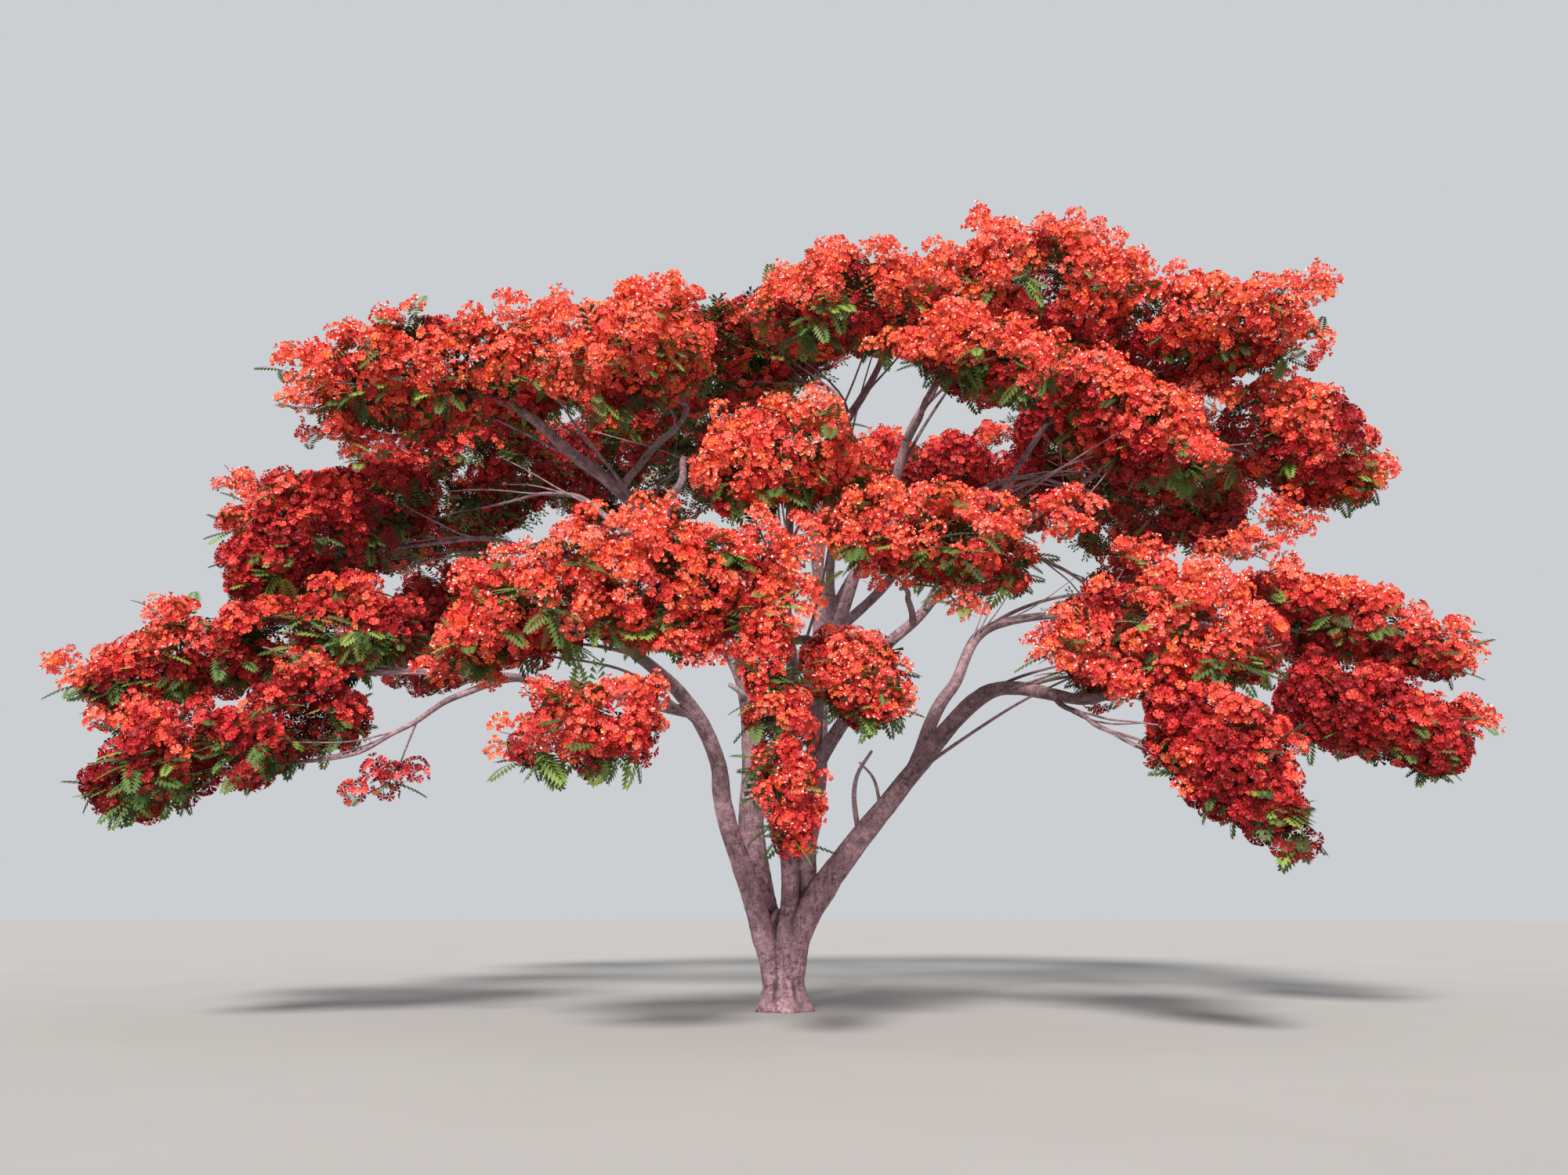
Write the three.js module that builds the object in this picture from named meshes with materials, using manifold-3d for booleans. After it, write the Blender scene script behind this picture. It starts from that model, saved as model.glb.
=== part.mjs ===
// A royal poinciana in full blossom: a short flared trunk that forks low into six leaning stems, limbs
// that arch out into a wide umbrella, and flat layered masses of scarlet blossom and feathery leaves at
// their tips. Millimetres, +Z up, +X to the viewer's right, +Y away from the viewer. The trunk's flat cut
// at the ground is at z = 0.
import * as THREE from "three";
import { mergeVertices } from "three/addons/utils/BufferGeometryUtils.js";
import Module from "manifold-3d";

const METRE = 1000;
const DEGREE = Math.PI / 180;
const SAME_PLACE = 0.001; // millimetres within which two corners are merged
const TOUCH = 1; // millimetres within which two solids count as touching
const LINE_STEP = 0.01; // the share of a line over which its direction is measured
const HALVINGS = 40; // of a stem's line, in search of its cut
const UP = new THREE.Vector3(0, 0, 1);

// Driving dimensions, in metres.
const SEAT_GAP = 0.0003; // between a limb and what carries it
const CUT_GROWTH = SEAT_GAP * 1.1; // how far a carrier is grown before a limb is cut to sit on it
const TRUNK = {
  height: 1.15, // the top of the bole, hidden between the stems
  foot: 0.38, // radius at the ground
  waist: 0.26, // least radius
  waistHeight: 0.6,
  crown: 0.3, // radius at the top of the bole
  flarePower: 2.0,
  lobes: 5, // root flares round the foot
  lobeDepth: 0.14,
  lobeTurn: 0.6,
  lowRings: 1.5, // above 1, the rings lie closer together near the ground
  stemFoot: 0.35, // height where the stems start, inside the bole
  sides: 16,
  rings: 5,
  stemSides: 8, // of a stem within the fork
  stemSteps: 3,
};
const STEM_CUT = 2.25; // height where a stem leaves the fork and becomes its own bough
const LIMB = { sides: 6, steps: 6, tipShare: 0.34, taperPower: 1.2, swell: 0.2, swellLength: 0.07 };
// How long an arch holds its direction at each end, by its span, and its dip at the tip, by the mass's slope.
const ARCH = { leave: 0.4, arrive: 0.3, dip: 0.4 };
// How far a limb wanders off its smooth arch, by its length, in how many waves, and the same up and down.
const CROOK = { share: 0.012, waves: 2.3, rise: 0.7, riseWaves: 1.3, apart: 2.4 };
// Where a limb enters its mass, by the mass's size: at its near end, low down.
const MOUTH = { back: 0.62, under: 0.85 };
// The one stem inside a mass: how far it reaches past the middle and below it, by the mass's size.
const INNER_STEM = { sides: 5, steps: 3, reach: 0.3, sink: 0.3, tipShare: 0.45 };
const TWIG = {
  sides: 3,
  foot: 0.03,
  tip: 0.014,
  keep: 0.5, // a twig's root by the thickness of what carries it
  slender: 0.7, // its tip by its root
  low: 0.35, // the stretch of a twig that others grow from
  high: 0.8,
  back: 0.2, // how far before the nearest place a twig leaves its carrier
  tries: 3,
};
const HEAD = { sides: 5, radius: 0.47, rise: 0.18, drop: 0.1, uneven: 0.26 }; // a dome of blossom
const FROND = { long: 0.66, wide: 0.32, thick: 0.035, every: 5, droop: 0.35, past: 0.2 }; // a feathery leaf
const SPRAY = {
  area: 1.25, // square metres of a mass that one spray covers
  fewest: 7,
  skinTurn: 1.3, // above 1, the sprays turn under the rim
  inset: [0.8, 0.8, 0.4], // how far inside the space each way, by the head's radius
  leastInner: 0.12,
  outJitter: 0.08,
  turnJitter: 0.5,
  faceUp: 0.35, // from 0, square to the skin, to 1, level
  fromSpace: 0.5, // clearances by the head's radius: from another mass, from limbs and from its own limb
  fromLimb: 0.8,
  fromOwnLimb: 0.3,
  limbChecks: 16,
};
const FIRST_SEED = 1000;
const GOLDEN_ANGLE = Math.PI * (3 - Math.sqrt(5));

// Stems that rise from the bole: the side of it that each one leaves, and how far out its foot stands.
// Bearings run from +X towards +Y: 0 is right, 90 is away, 180 is left and 270 is towards the viewer.
const STEMS = {
  left_front: { bearing: 205, foot: 0.11 },
  left: { bearing: 140, foot: 0.1 },
  front: { bearing: 275, foot: 0.12 },
  centre: { bearing: 30, foot: 0.1 },
  right: { bearing: 335, foot: 0.05 },
  back: { bearing: 70, foot: 0.12 },
};

// One row for each limb with the mass of foliage at its tip. from: what carries it, and how far along that.
// girth: its thickness at the root. knees: the places where it bends, or else leave: its rise at the root.
// at: the middle of the mass. heading and slope: the way the mass runs out and how steeply it droops.
// size: its length, width and depth.
const LIMBS = [
  { name: "left_front", girth: 0.31, knees: [[-0.66, -0.28, 2.2], [-0.95, -0.8, 3.3], [-1.5, -2.0, 4.2]],
    at: [-2.87, -4.6, 4.4], heading: 190, slope: 28, size: [2.15, 2, 1.25] },
  { name: "left", girth: 0.42, knees: [[-0.44, 0.2, 2.3], [-0.64, 0.2, 4.7], [-1.9, -0.5, 6.6]],
    at: [-4.55, -2.2, 8.23], heading: 185, slope: 2, size: [4.2, 2.5, 1.7] },
  { name: "front", girth: 0.27, knees: [[0.04, -0.2, 2.2], [0.05, -1.0, 4.4]],
    at: [-0.05, -4, 6.42], heading: 262, slope: 25, size: [2.2, 2.4, 1.45] },
  { name: "centre", girth: 0.27, knees: [[0.38, -0.05, 2.2], [0.45, -0.4, 5.2], [0.6, -0.8, 7.4]],
    at: [0.85, -1.8, 9.38], heading: 240, slope: 12, size: [2.9, 3, 1.6] },
  { name: "right", girth: 0.4,
    knees: [[0.3, -0.1, 1.25], [0.98, -0.35, 2.2], [1.76, -0.7, 3.1], [2.64, -1.4, 4.1]],
    at: [4.42, -3.6, 4.33], heading: 345, slope: 3, size: [3.3, 2.2, 1.65] },
  { name: "back", girth: 0.28, knees: [[0.34, 0.45, 2.2], [0.6, 1.7, 4.9], [1.3, 3.2, 7.2]],
    at: [2.75, 5.6, 9.1], heading: 78, slope: 14, size: [3.8, 5.6, 2] },

  { name: "left_hanging", from: ["left_front", 0.72], girth: 0.07, leave: -20,
    at: [-2, -5.3, 3.15], heading: 262, slope: 30, size: [1.3, 1.6, 0.95] },
  { name: "left_low", from: ["left_front", 0.62], girth: 0.14, leave: 10,
    at: [-6.93, -1.9, 4.55], heading: 162, slope: 6, size: [5.6, 2.2, 1.4] },
  { name: "left_lowest", from: ["left_low", 0.5], girth: 0.09, leave: -10,
    at: [-6.58, -2.8, 3.2], heading: 186, slope: 18, size: [3.4, 1.9, 1.15] },
  { name: "front_left", from: ["left", 0.4], girth: 0.13, leave: 60,
    at: [-1.15, -4.6, 4.7], heading: 200, slope: 12, size: [2.7, 1.8, 1.7] },
  { name: "left_upper", from: ["left", 0.83], girth: 0.12, leave: 50,
    at: [-1.9, -2.6, 8.38], heading: 235, slope: 18, size: [2.5, 2.2, 1.6] },
  { name: "left_middle", from: ["left", 0.52], girth: 0.16, leave: 35,
    at: [-6.5, -0.2, 6.65], heading: 184, slope: 30, size: [3.8, 2.9, 2] },
  { name: "left_back", from: ["left", 0.62], girth: 0.15, leave: 35,
    at: [-5.8, 3.1, 8.35], heading: 155, slope: 20, size: [4.6, 3.8, 2] },
  { name: "back_left_top", from: ["left", 0.72], girth: 0.15, leave: 55,
    at: [-2.6, 4.9, 9.4], heading: 118, slope: 14, size: [4, 4.6, 1.8] },

  { name: "front_hanging", from: ["front_left", 0.66], girth: 0.07, leave: -15,
    at: [-0.1, -5.05, 3.38], heading: 311, slope: 78, size: [3.3, 0.7, 0.9] },
  { name: "centre_low", from: ["centre", 0.36], girth: 0.09, leave: 30,
    at: [0.74, -4, 3.83], heading: 345, slope: 34, size: [1.5, 0.95, 0.95] },
  { name: "top_right", from: ["centre", 0.44], girth: 0.19, knees: [[1.12, -1.1, 6.1], [1.7, -1.6, 7.5]],
    at: [3.6, -1.3, 9.93], heading: 5, slope: 2, size: [3.6, 2.8, 1.9] },
  { name: "upper_right_front", from: ["top_right", 0.66], girth: 0.1, leave: 25,
    at: [2.6, -2.9, 8.2], heading: 310, slope: 28, size: [2.1, 1.9, 1.1] },
  { name: "right_upper", from: ["centre", 0.34], girth: 0.2, knees: [[1.28, -0.6, 4.6], [2.3, -1.0, 5.85]],
    at: [4.5, -2.2, 7.6], heading: 330, slope: 36, size: [3.1, 2.3, 1.6] },
  { name: "front_right", from: ["right_upper", 0.5], girth: 0.09, leave: 25,
    at: [1.72, -3.8, 5.45], heading: 285, slope: 14, size: [2, 3, 1.15] },

  { name: "right_hanging", from: ["right", 0.88], girth: 0.1, leave: -5,
    at: [4.62, -4.5, 2.95], heading: 335, slope: 45, size: [2.75, 1.4, 1.3] },
  { name: "right_far", from: ["right", 0.6], girth: 0.2, knees: [[2.3, -0.5, 4.3], [3.35, -0.3, 5.35]],
    at: [7.85, -0.5, 5.2], heading: 350, slope: 24, size: [3.6, 2.6, 1.15] },
  { name: "right_far_low", from: ["right_far", 0.8], girth: 0.1, leave: -5,
    at: [7.65, -1.4, 3.73], heading: 342, slope: 24, size: [2.8, 1.9, 1.3] },
  { name: "right_outer", from: ["right_upper", 0.7], girth: 0.11, leave: 25,
    at: [7.6, -0.3, 8], heading: 0, slope: 34, size: [3.2, 2.8, 1.8] },
  { name: "right_top", from: ["right_outer", 0.5], girth: 0.09, leave: 60,
    at: [5.98, -1.1, 9.38], heading: 350, slope: 2, size: [3.4, 2.5, 1.6] },

  { name: "top_back", from: ["back", 0.62], girth: 0.15, leave: 70,
    at: [-1, 1.6, 10.15], heading: 175, slope: 8, size: [4.2, 3.6, 1.5] },
  { name: "right_back", from: ["back", 0.55], girth: 0.17, leave: 40,
    at: [6.1, 3.1, 8.75], heading: 28, slope: 20, size: [5.3, 4.2, 2.6] },
  { name: "back_left_low", from: ["back", 0.5], girth: 0.15, leave: 35,
    at: [-6.3, 6, 6.6], heading: 135, slope: 35, size: [3.4, 3.4, 1.3] },
  { name: "back_right_low", from: ["right_back", 0.45], girth: 0.11, leave: 15,
    at: [6.9, 6.0, 6.6], heading: 45, slope: 40, size: [3.4, 3.4, 1.2] },
];

const barkMaterial = new THREE.MeshStandardMaterial({ color: 0x8b7a78, roughness: 0.9, metalness: 0 });
const blossomMaterial = new THREE.MeshStandardMaterial({ color: 0xe03416, roughness: 0.7, metalness: 0 });

const wasm = await Module();
wasm.setup();

// A repeatable stream of numbers from 0 to 1.
function seeded(seed) {
  let state = seed >>> 0;
  return () => {
    state = (Math.imul(state, 1664525) + 1013904223) >>> 0;
    return state / 4294967296;
  };
}

// The level direction of a bearing, tipped up by a rise. Both are in degrees.
function direction(bearing, rise = 0) {
  const level = Math.cos(rise * DEGREE);
  return new THREE.Vector3(
    level * Math.cos(bearing * DEGREE),
    level * Math.sin(bearing * DEGREE),
    Math.sin(rise * DEGREE),
  );
}

// A closed geometry as a solid. Places are in metres until this point.
function solidOf(geometry) {
  geometry.deleteAttribute("normal");
  geometry.deleteAttribute("uv");
  const merged = mergeVertices(geometry.scale(METRE, METRE, METRE), SAME_PLACE);
  return new wasm.Manifold(
    new wasm.Mesh({
      numProp: 3,
      vertProperties: merged.getAttribute("position").array,
      triVerts: new Uint32Array(merged.index.array),
    }),
  );
}

// A cut can leave a loose scrap, which is dropped.
function largestBody(solid) {
  return solid.decompose().sort((a, b) => b.volume() - a.volume())[0];
}

function meshOf(solid, name, material) {
  const { numProp, vertProperties, triVerts } = solid.getMesh();
  const geometry = new THREE.BufferGeometry();
  const places = new Float32Array((vertProperties.length / numProp) * 3);
  for (let i = 0; i * 3 < places.length; i++) {
    places.set(vertProperties.subarray(i * numProp, i * numProp + 3), i * 3);
  }
  geometry.setAttribute("position", new THREE.BufferAttribute(places, 3));
  geometry.setIndex(new THREE.BufferAttribute(triVerts, 1));
  const mesh = new THREE.Mesh(geometry, material);
  mesh.name = name;
  return mesh;
}

// A limb's line: a smooth arch through its knees that wanders a little to each side.
class LimbLine extends THREE.Curve {
  constructor(arch, seed) {
    super();
    this.arch = arch;
    const root = arch.getPoint(0);
    const ahead = arch.getPoint(1).sub(root);
    this.crook = ahead.length() * CROOK.share;
    this.phase = seed * CROOK.apart;
    this.side = new THREE.Vector3(-ahead.y, ahead.x, 0).normalize();
  }

  getPoint(t) {
    const swing = this.crook * Math.sin(Math.PI * t);
    const turn = CROOK.waves * 2 * Math.PI * t + this.phase;
    return this.arch
      .getPoint(t)
      .addScaledVector(this.side, swing * Math.sin(turn))
      .addScaledVector(UP, swing * CROOK.rise * Math.cos(turn * CROOK.riseWaves));
  }

  // The place at t with two directions across the line.
  frame(t) {
    const before = Math.max(0, t - LINE_STEP);
    const after = Math.min(1, t + LINE_STEP);
    const ahead =
      t === 0 && this.firstAhead
        ? this.firstAhead.clone()
        : this.getPoint(after).sub(this.getPoint(before)).normalize();
    const side = this.side.clone().addScaledVector(ahead, -this.side.dot(ahead)).normalize();
    return { place: this.getPoint(t), ahead, side, back: side.clone().cross(ahead) };
  }
}

// A cylinder bent along a line from t0 to t1, with its own radius at each place.
function bentCylinder(line, t0, t1, radiusAt, sides, steps) {
  const geometry = new THREE.CylinderGeometry(1, 1, 1, sides, steps);
  const places = geometry.getAttribute("position");
  for (let i = 0; i < places.count; i++) {
    const t = t0 + (t1 - t0) * (places.getY(i) + 0.5);
    const { place, side, back } = line.frame(t);
    const radius = radiusAt(t);
    place.addScaledVector(side, places.getX(i) * radius).addScaledVector(back, places.getZ(i) * radius);
    places.setXYZ(i, place.x, place.y, place.z);
  }
  return solidOf(geometry);
}

// The space of a mass: a flattened egg with its long way out along the heading, drooping by the slope.
function spaceOf(row) {
  const ahead = direction(row.heading, -row.slope);
  const across = direction(row.heading + 90);
  return {
    middle: new THREE.Vector3(...row.at),
    axes: [ahead, across, ahead.clone().cross(across)],
    radii: row.size.map((full) => full / 2),
  };
}

// How far out in a space a place lies: 1 is on its skin, grown by a margin.
function depthIn(space, place, margin) {
  const offset = place.clone().sub(space.middle);
  const shares = space.axes.map((axis, k) => offset.dot(axis) / (space.radii[k] + margin));
  return Math.hypot(...shares);
}

// Where the limb ends and the mass's own stem takes over: low down, at the near end of the space.
function mouthOf(space) {
  const [ahead, , over] = space.axes;
  return space.middle
    .clone()
    .addScaledVector(ahead, -space.radii[0] * MOUTH.back)
    .addScaledVector(over, -space.radii[2] * MOUTH.under);
}

function limbRadius(limb, t) {
  const taper = 1 - (1 - LIMB.tipShare) * Math.pow(t, LIMB.taperPower);
  const swell = limb.isStem ? 0 : LIMB.swell * Math.exp(-t / LIMB.swellLength);
  return (limb.girth / 2) * (taper + swell);
}

// An arch that leaves its root and comes to its tip in the given directions.
function archBetween(root, leaving, tip, arriving) {
  const span = root.distanceTo(tip);
  return new THREE.CubicBezierCurve3(
    root,
    root.clone().addScaledVector(leaving, span * ARCH.leave),
    tip.clone().addScaledVector(arriving, -span * ARCH.arrive),
    tip,
  );
}

// An arch that passes through the given knees.
function archThrough(root, knees, tip) {
  const places = [root, ...knees.map((knee) => new THREE.Vector3(...knee)), tip];
  return new THREE.CatmullRomCurve3(places, false, "catmullrom");
}

// Gives every row its space and its line, parents first.
function layOutLimbs() {
  const limbs = new Map();
  LIMBS.forEach((row, index) => {
    const space = spaceOf(row);
    const tip = mouthOf(space);
    const stem = STEMS[row.name];
    const root = stem
      ? direction(stem.bearing).multiplyScalar(stem.foot).setZ(TRUNK.stemFoot)
      : limbs.get(row.from[0]).line.getPoint(row.from[1]);
    const toTip = tip.clone().sub(root);
    const leaving = direction(Math.atan2(toTip.y, toTip.x) / DEGREE, row.leave);
    const arriving = direction(row.heading, -row.slope * ARCH.dip);
    const arch = row.knees ? archThrough(root, row.knees, tip) : archBetween(root, leaving, tip, arriving);
    limbs.set(row.name, { ...row, index, space, isStem: Boolean(stem), line: new LimbLine(arch, index) });
  });
  return limbs;
}

// How far along a stem its line reaches the height where it leaves the fork.
function cutOf(limb) {
  let low = 0;
  let high = 1;
  for (let i = 0; i < HALVINGS; i++) {
    const middle = (low + high) / 2;
    if (limb.line.getPoint(middle).z < STEM_CUT) low = middle;
    else high = middle;
  }
  return low;
}

// The bole with its waist and root flares, fused with the foot of every stem.
function trunkSolid(stems) {
  const geometry = new THREE.CylinderGeometry(1, 1, 1, TRUNK.sides, TRUNK.rings);
  geometry.rotateX(Math.PI / 2);
  const places = geometry.getAttribute("position");
  for (let i = 0; i < places.count; i++) {
    const share = 0.5 + places.getZ(i);
    const z = TRUNK.height * Math.pow(share, TRUNK.lowRings);
    const below = Math.max(0, 1 - z / TRUNK.waistHeight);
    const above = Math.max(0, (z - TRUNK.waistHeight) / (TRUNK.height - TRUNK.waistHeight));
    const flare = (TRUNK.foot - TRUNK.waist) * Math.pow(below, TRUNK.flarePower);
    const angle = Math.atan2(places.getY(i), places.getX(i));
    const lobe = 1 + TRUNK.lobeDepth * below * Math.cos(TRUNK.lobes * angle + TRUNK.lobeTurn);
    const radius = (TRUNK.waist + flare + (TRUNK.crown - TRUNK.waist) * above) * lobe;
    places.setXYZ(i, places.getX(i) * radius, places.getY(i) * radius, z);
  }
  const feet = stems.map((limb) =>
    bentCylinder(limb.line, 0, limb.cut, (t) => limbRadius(limb, t), TRUNK.stemSides, TRUNK.stemSteps),
  );
  return wasm.Manifold.union([solidOf(geometry), ...feet]);
}

// A limb's solid. A stem starts just above its cut, and a side limb is cut to sit on what carries it.
function limbSolid(limb, limbs) {
  const radiusAt = (t) => limbRadius(limb, t);
  if (limb.isStem) {
    const start = limb.cut + SEAT_GAP / limb.line.getLength();
    return bentCylinder(limb.line, start, 1, radiusAt, LIMB.sides, LIMB.steps);
  }
  const carrier = limbs.get(limb.from[0]);
  const carrierStart = carrier.isStem ? carrier.cut : 0;
  const grown = bentCylinder(
    carrier.line,
    carrierStart,
    1,
    (t) => limbRadius(carrier, t) + CUT_GROWTH,
    LIMB.sides,
    LIMB.steps,
  );
  return largestBody(bentCylinder(limb.line, 0, 1, radiusAt, LIMB.sides, LIMB.steps).subtract(grown));
}

// The sprays' places on the skin of a space, spread by the golden angle: over the top, then under the rim.
function spotsOf(limb, random) {
  const { middle, axes, radii } = limb.space;
  const inner = radii.map((radius, k) => Math.max(radius - HEAD.radius * SPRAY.inset[k], SPRAY.leastInner));
  const area = Math.PI * radii[0] * radii[1] * SPRAY.skinTurn;
  const count = Math.max(SPRAY.fewest, Math.round(area / SPRAY.area));
  const spots = [];
  for (let k = 0; k < count; k++) {
    const share = (SPRAY.skinTurn * (k + 0.5)) / count;
    const under = share > 1;
    const jitter = 1 + SPRAY.outJitter * (random() - 0.5);
    const out = Math.min(1, Math.sqrt(under ? 2 - share : share) * jitter);
    const angle = k * GOLDEN_ANGLE + SPRAY.turnJitter * random();
    const over = (under ? -1 : 1) * Math.sqrt(1 - out * out);
    const unit = [out * Math.cos(angle), out * Math.sin(angle), over];
    const place = middle.clone();
    const facing = new THREE.Vector3();
    unit.forEach((u, axis) => {
      place.addScaledVector(axes[axis], u * inner[axis]);
      facing.addScaledVector(axes[axis], u / inner[axis]);
    });
    facing.normalize().lerp(UP, SPRAY.faceUp).normalize();
    spots.push({ place, facing, turn: 2 * Math.PI * random() });
  }
  return spots;
}

// A straight three-sided twig, its root sunk in what carries it.
function twigSolid(from, to, foot, tip) {
  const ahead = to.clone().sub(from);
  const span = ahead.length();
  ahead.normalize();
  const geometry = new THREE.CylinderGeometry(tip, foot, span, TWIG.sides, 1);
  geometry.applyQuaternion(new THREE.Quaternion().setFromUnitVectors(new THREE.Vector3(0, 1, 0), ahead));
  geometry.translate(...from.clone().lerp(to, 0.5).toArray());
  return solidOf(geometry);
}

// A head of blossom: a low dome with an uneven rim.
function headSolid(spot, random) {
  const geometry = new THREE.SphereGeometry(1, HEAD.sides, 2);
  geometry.rotateX(Math.PI / 2);
  const uneven = Array.from({ length: HEAD.sides }, () => 1 + HEAD.uneven * (random() - 0.5));
  const places = geometry.getAttribute("position");
  for (let i = 0; i < places.count; i++) {
    const x = places.getX(i);
    const y = places.getY(i);
    const corner = Math.round((Math.atan2(y, x) / (2 * Math.PI) + 1) * HEAD.sides) % HEAD.sides;
    const radius = HEAD.radius * uneven[corner];
    const z = places.getZ(i) * (places.getZ(i) > 0 ? HEAD.rise : HEAD.drop);
    places.setXYZ(i, x * radius, y * radius, z);
  }
  geometry.rotateZ(spot.turn);
  geometry.applyQuaternion(new THREE.Quaternion().setFromUnitVectors(UP, spot.facing));
  geometry.translate(...spot.place.toArray());
  return solidOf(geometry);
}

// A feathery leaf as one drooping blade that points away from its twig.
function frondSolid(spot, ahead) {
  const outward = ahead.clone().addScaledVector(UP, -FROND.droop).normalize();
  const geometry = new THREE.OctahedronGeometry(1, 0);
  geometry.scale(FROND.long / 2, FROND.wide / 2, FROND.thick);
  geometry.translate(FROND.long * FROND.past, 0, 0);
  geometry.applyQuaternion(new THREE.Quaternion().setFromUnitVectors(new THREE.Vector3(1, 0, 0), outward));
  geometry.translate(...spot.place.toArray());
  return solidOf(geometry);
}

// True if a spray at this place would lie in an earlier mass's space or against a limb.
function isCrowded(place, owner, limbs) {
  for (const other of limbs.values()) {
    const isEarlier = other.index < owner.index;
    if (isEarlier && depthIn(other.space, place, HEAD.radius * SPRAY.fromSpace) < 1) return true;
    const away = HEAD.radius * (other === owner ? SPRAY.fromOwnLimb : SPRAY.fromLimb);
    for (let k = 0; k <= SPRAY.limbChecks; k++) {
      const t = k / SPRAY.limbChecks;
      const clear = limbRadius(other, t) + away;
      if (other.line.getPoint(t).distanceTo(place) < clear) return true;
    }
  }
  return false;
}

function touches(piece, solids) {
  return solids.some((solid) => piece.minGap(solid, TOUCH) < TOUCH);
}

// The nearest places where a twig to a spray can leave what has grown so far.
function carriersOf(target, growing) {
  const carriers = growing.map(({ line, from, to }) => {
    const nearest = line.closestPointToPointParameter(target, true);
    const t = THREE.MathUtils.clamp(nearest - TWIG.back, TWIG.low, TWIG.high);
    return { place: line.at(t, new THREE.Vector3()), radius: from + (to - from) * t };
  });
  carriers.sort((a, b) => a.place.distanceTo(target) - b.place.distanceTo(target));
  return carriers.slice(0, TWIG.tries);
}

// The one stem of a mass, seated on its bough's tip, as a solid and as stretches for twigs to grow from.
function innerStem(limb) {
  const { middle, axes, radii } = limb.space;
  const heading = limb.line.frame(1).ahead;
  const foot = limb.line.getPoint(1).addScaledVector(heading, SEAT_GAP);
  const end = middle
    .clone()
    .addScaledVector(axes[0], radii[0] * INNER_STEM.reach)
    .addScaledVector(axes[2], -radii[2] * INNER_STEM.sink);
  const line = new LimbLine(archBetween(foot, heading, end, axes[0]), limb.index);
  line.crook = 0;
  line.side = limb.line.side;
  line.firstAhead = heading;
  const radiusAt = (t) => limbRadius(limb, 1) * (1 - (1 - INNER_STEM.tipShare) * t);
  const stretches = [];
  for (let k = 0; k < INNER_STEM.steps; k++) {
    const [t0, t1] = [k, k + 1].map((step) => step / INNER_STEM.steps);
    const stretch = new THREE.Line3(line.getPoint(t0), line.getPoint(t1));
    stretches.push({ line: stretch, from: radiusAt(t0), to: radiusAt(t1) });
  }
  const solid = bentCylinder(line, 0, 1, radiusAt, INNER_STEM.sides, INNER_STEM.steps);
  return { foot, solid, stretches };
}

// The twigs of a mass: each spray, nearest first, grows from the closest place on what has grown before it.
// A spray or twig that would touch a limb or another mass tries the next place, and then is left out.
function massSolid(limb, limbs, neighbours) {
  const random = seeded(FIRST_SEED + limb.index);
  const { foot, solid, stretches } = innerStem(limb);
  const pieces = [solid];
  const growing = [...stretches];
  const spots = spotsOf(limb, random).filter((spot) => !isCrowded(spot.place, limb, limbs));
  spots.sort((a, b) => a.place.distanceTo(foot) - b.place.distanceTo(foot));
  spots.forEach((spot, order) => {
    const isFrond = order % FROND.every === FROND.every - 1;
    for (const { place, radius } of carriersOf(spot.place, growing)) {
      const ahead = spot.place.clone().sub(place).normalize();
      const footSize = Math.min(TWIG.foot, radius * TWIG.keep);
      const tipSize = Math.min(TWIG.tip, footSize * TWIG.slender);
      const twig = twigSolid(place, spot.place, footSize, tipSize);
      const spray = isFrond ? frondSolid(spot, ahead) : headSolid(spot, random);
      if (touches(twig, neighbours) || touches(spray, neighbours)) continue;
      pieces.push(twig, spray);
      growing.push({ line: new THREE.Line3(place, spot.place.clone()), from: footSize, to: tipSize });
      break;
    }
  });
  return largestBody(wasm.Manifold.union(pieces));
}

function buildTree() {
  const tree = new THREE.Group();
  tree.name = "royal_poinciana";
  const limbs = layOutLimbs();
  const stems = [...limbs.values()].filter((limb) => limb.isStem);
  stems.forEach((limb) => (limb.cut = cutOf(limb)));
  const wood = [trunkSolid(stems)];
  tree.add(meshOf(wood[0], "trunk", barkMaterial));
  for (const limb of limbs.values()) {
    const solid = limbSolid(limb, limbs);
    wood.push(solid);
    tree.add(meshOf(solid, `bough_${limb.name}`, barkMaterial));
  }
  const masses = [];
  for (const limb of limbs.values()) {
    const solid = massSolid(limb, limbs, [...wood, ...masses]);
    masses.push(solid);
    tree.add(meshOf(solid, `blossom_${limb.name}`, blossomMaterial));
  }
  return tree;
}

export default buildTree();
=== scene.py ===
"""A royal poinciana in full blossom: a short flared trunk that forks low into six leaning stems, limbs that
arch out into a wide umbrella, and layered masses of scarlet flowers and feathery leaves at their tips.
Metres, +Z up, +X to the viewer's right, +Y away from the viewer. The trunk's flat cut is at z = 0."""

import math
from types import SimpleNamespace as Sizes

import bmesh
import bpy
import numpy as np
from mathutils import Matrix, Vector, noise


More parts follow.
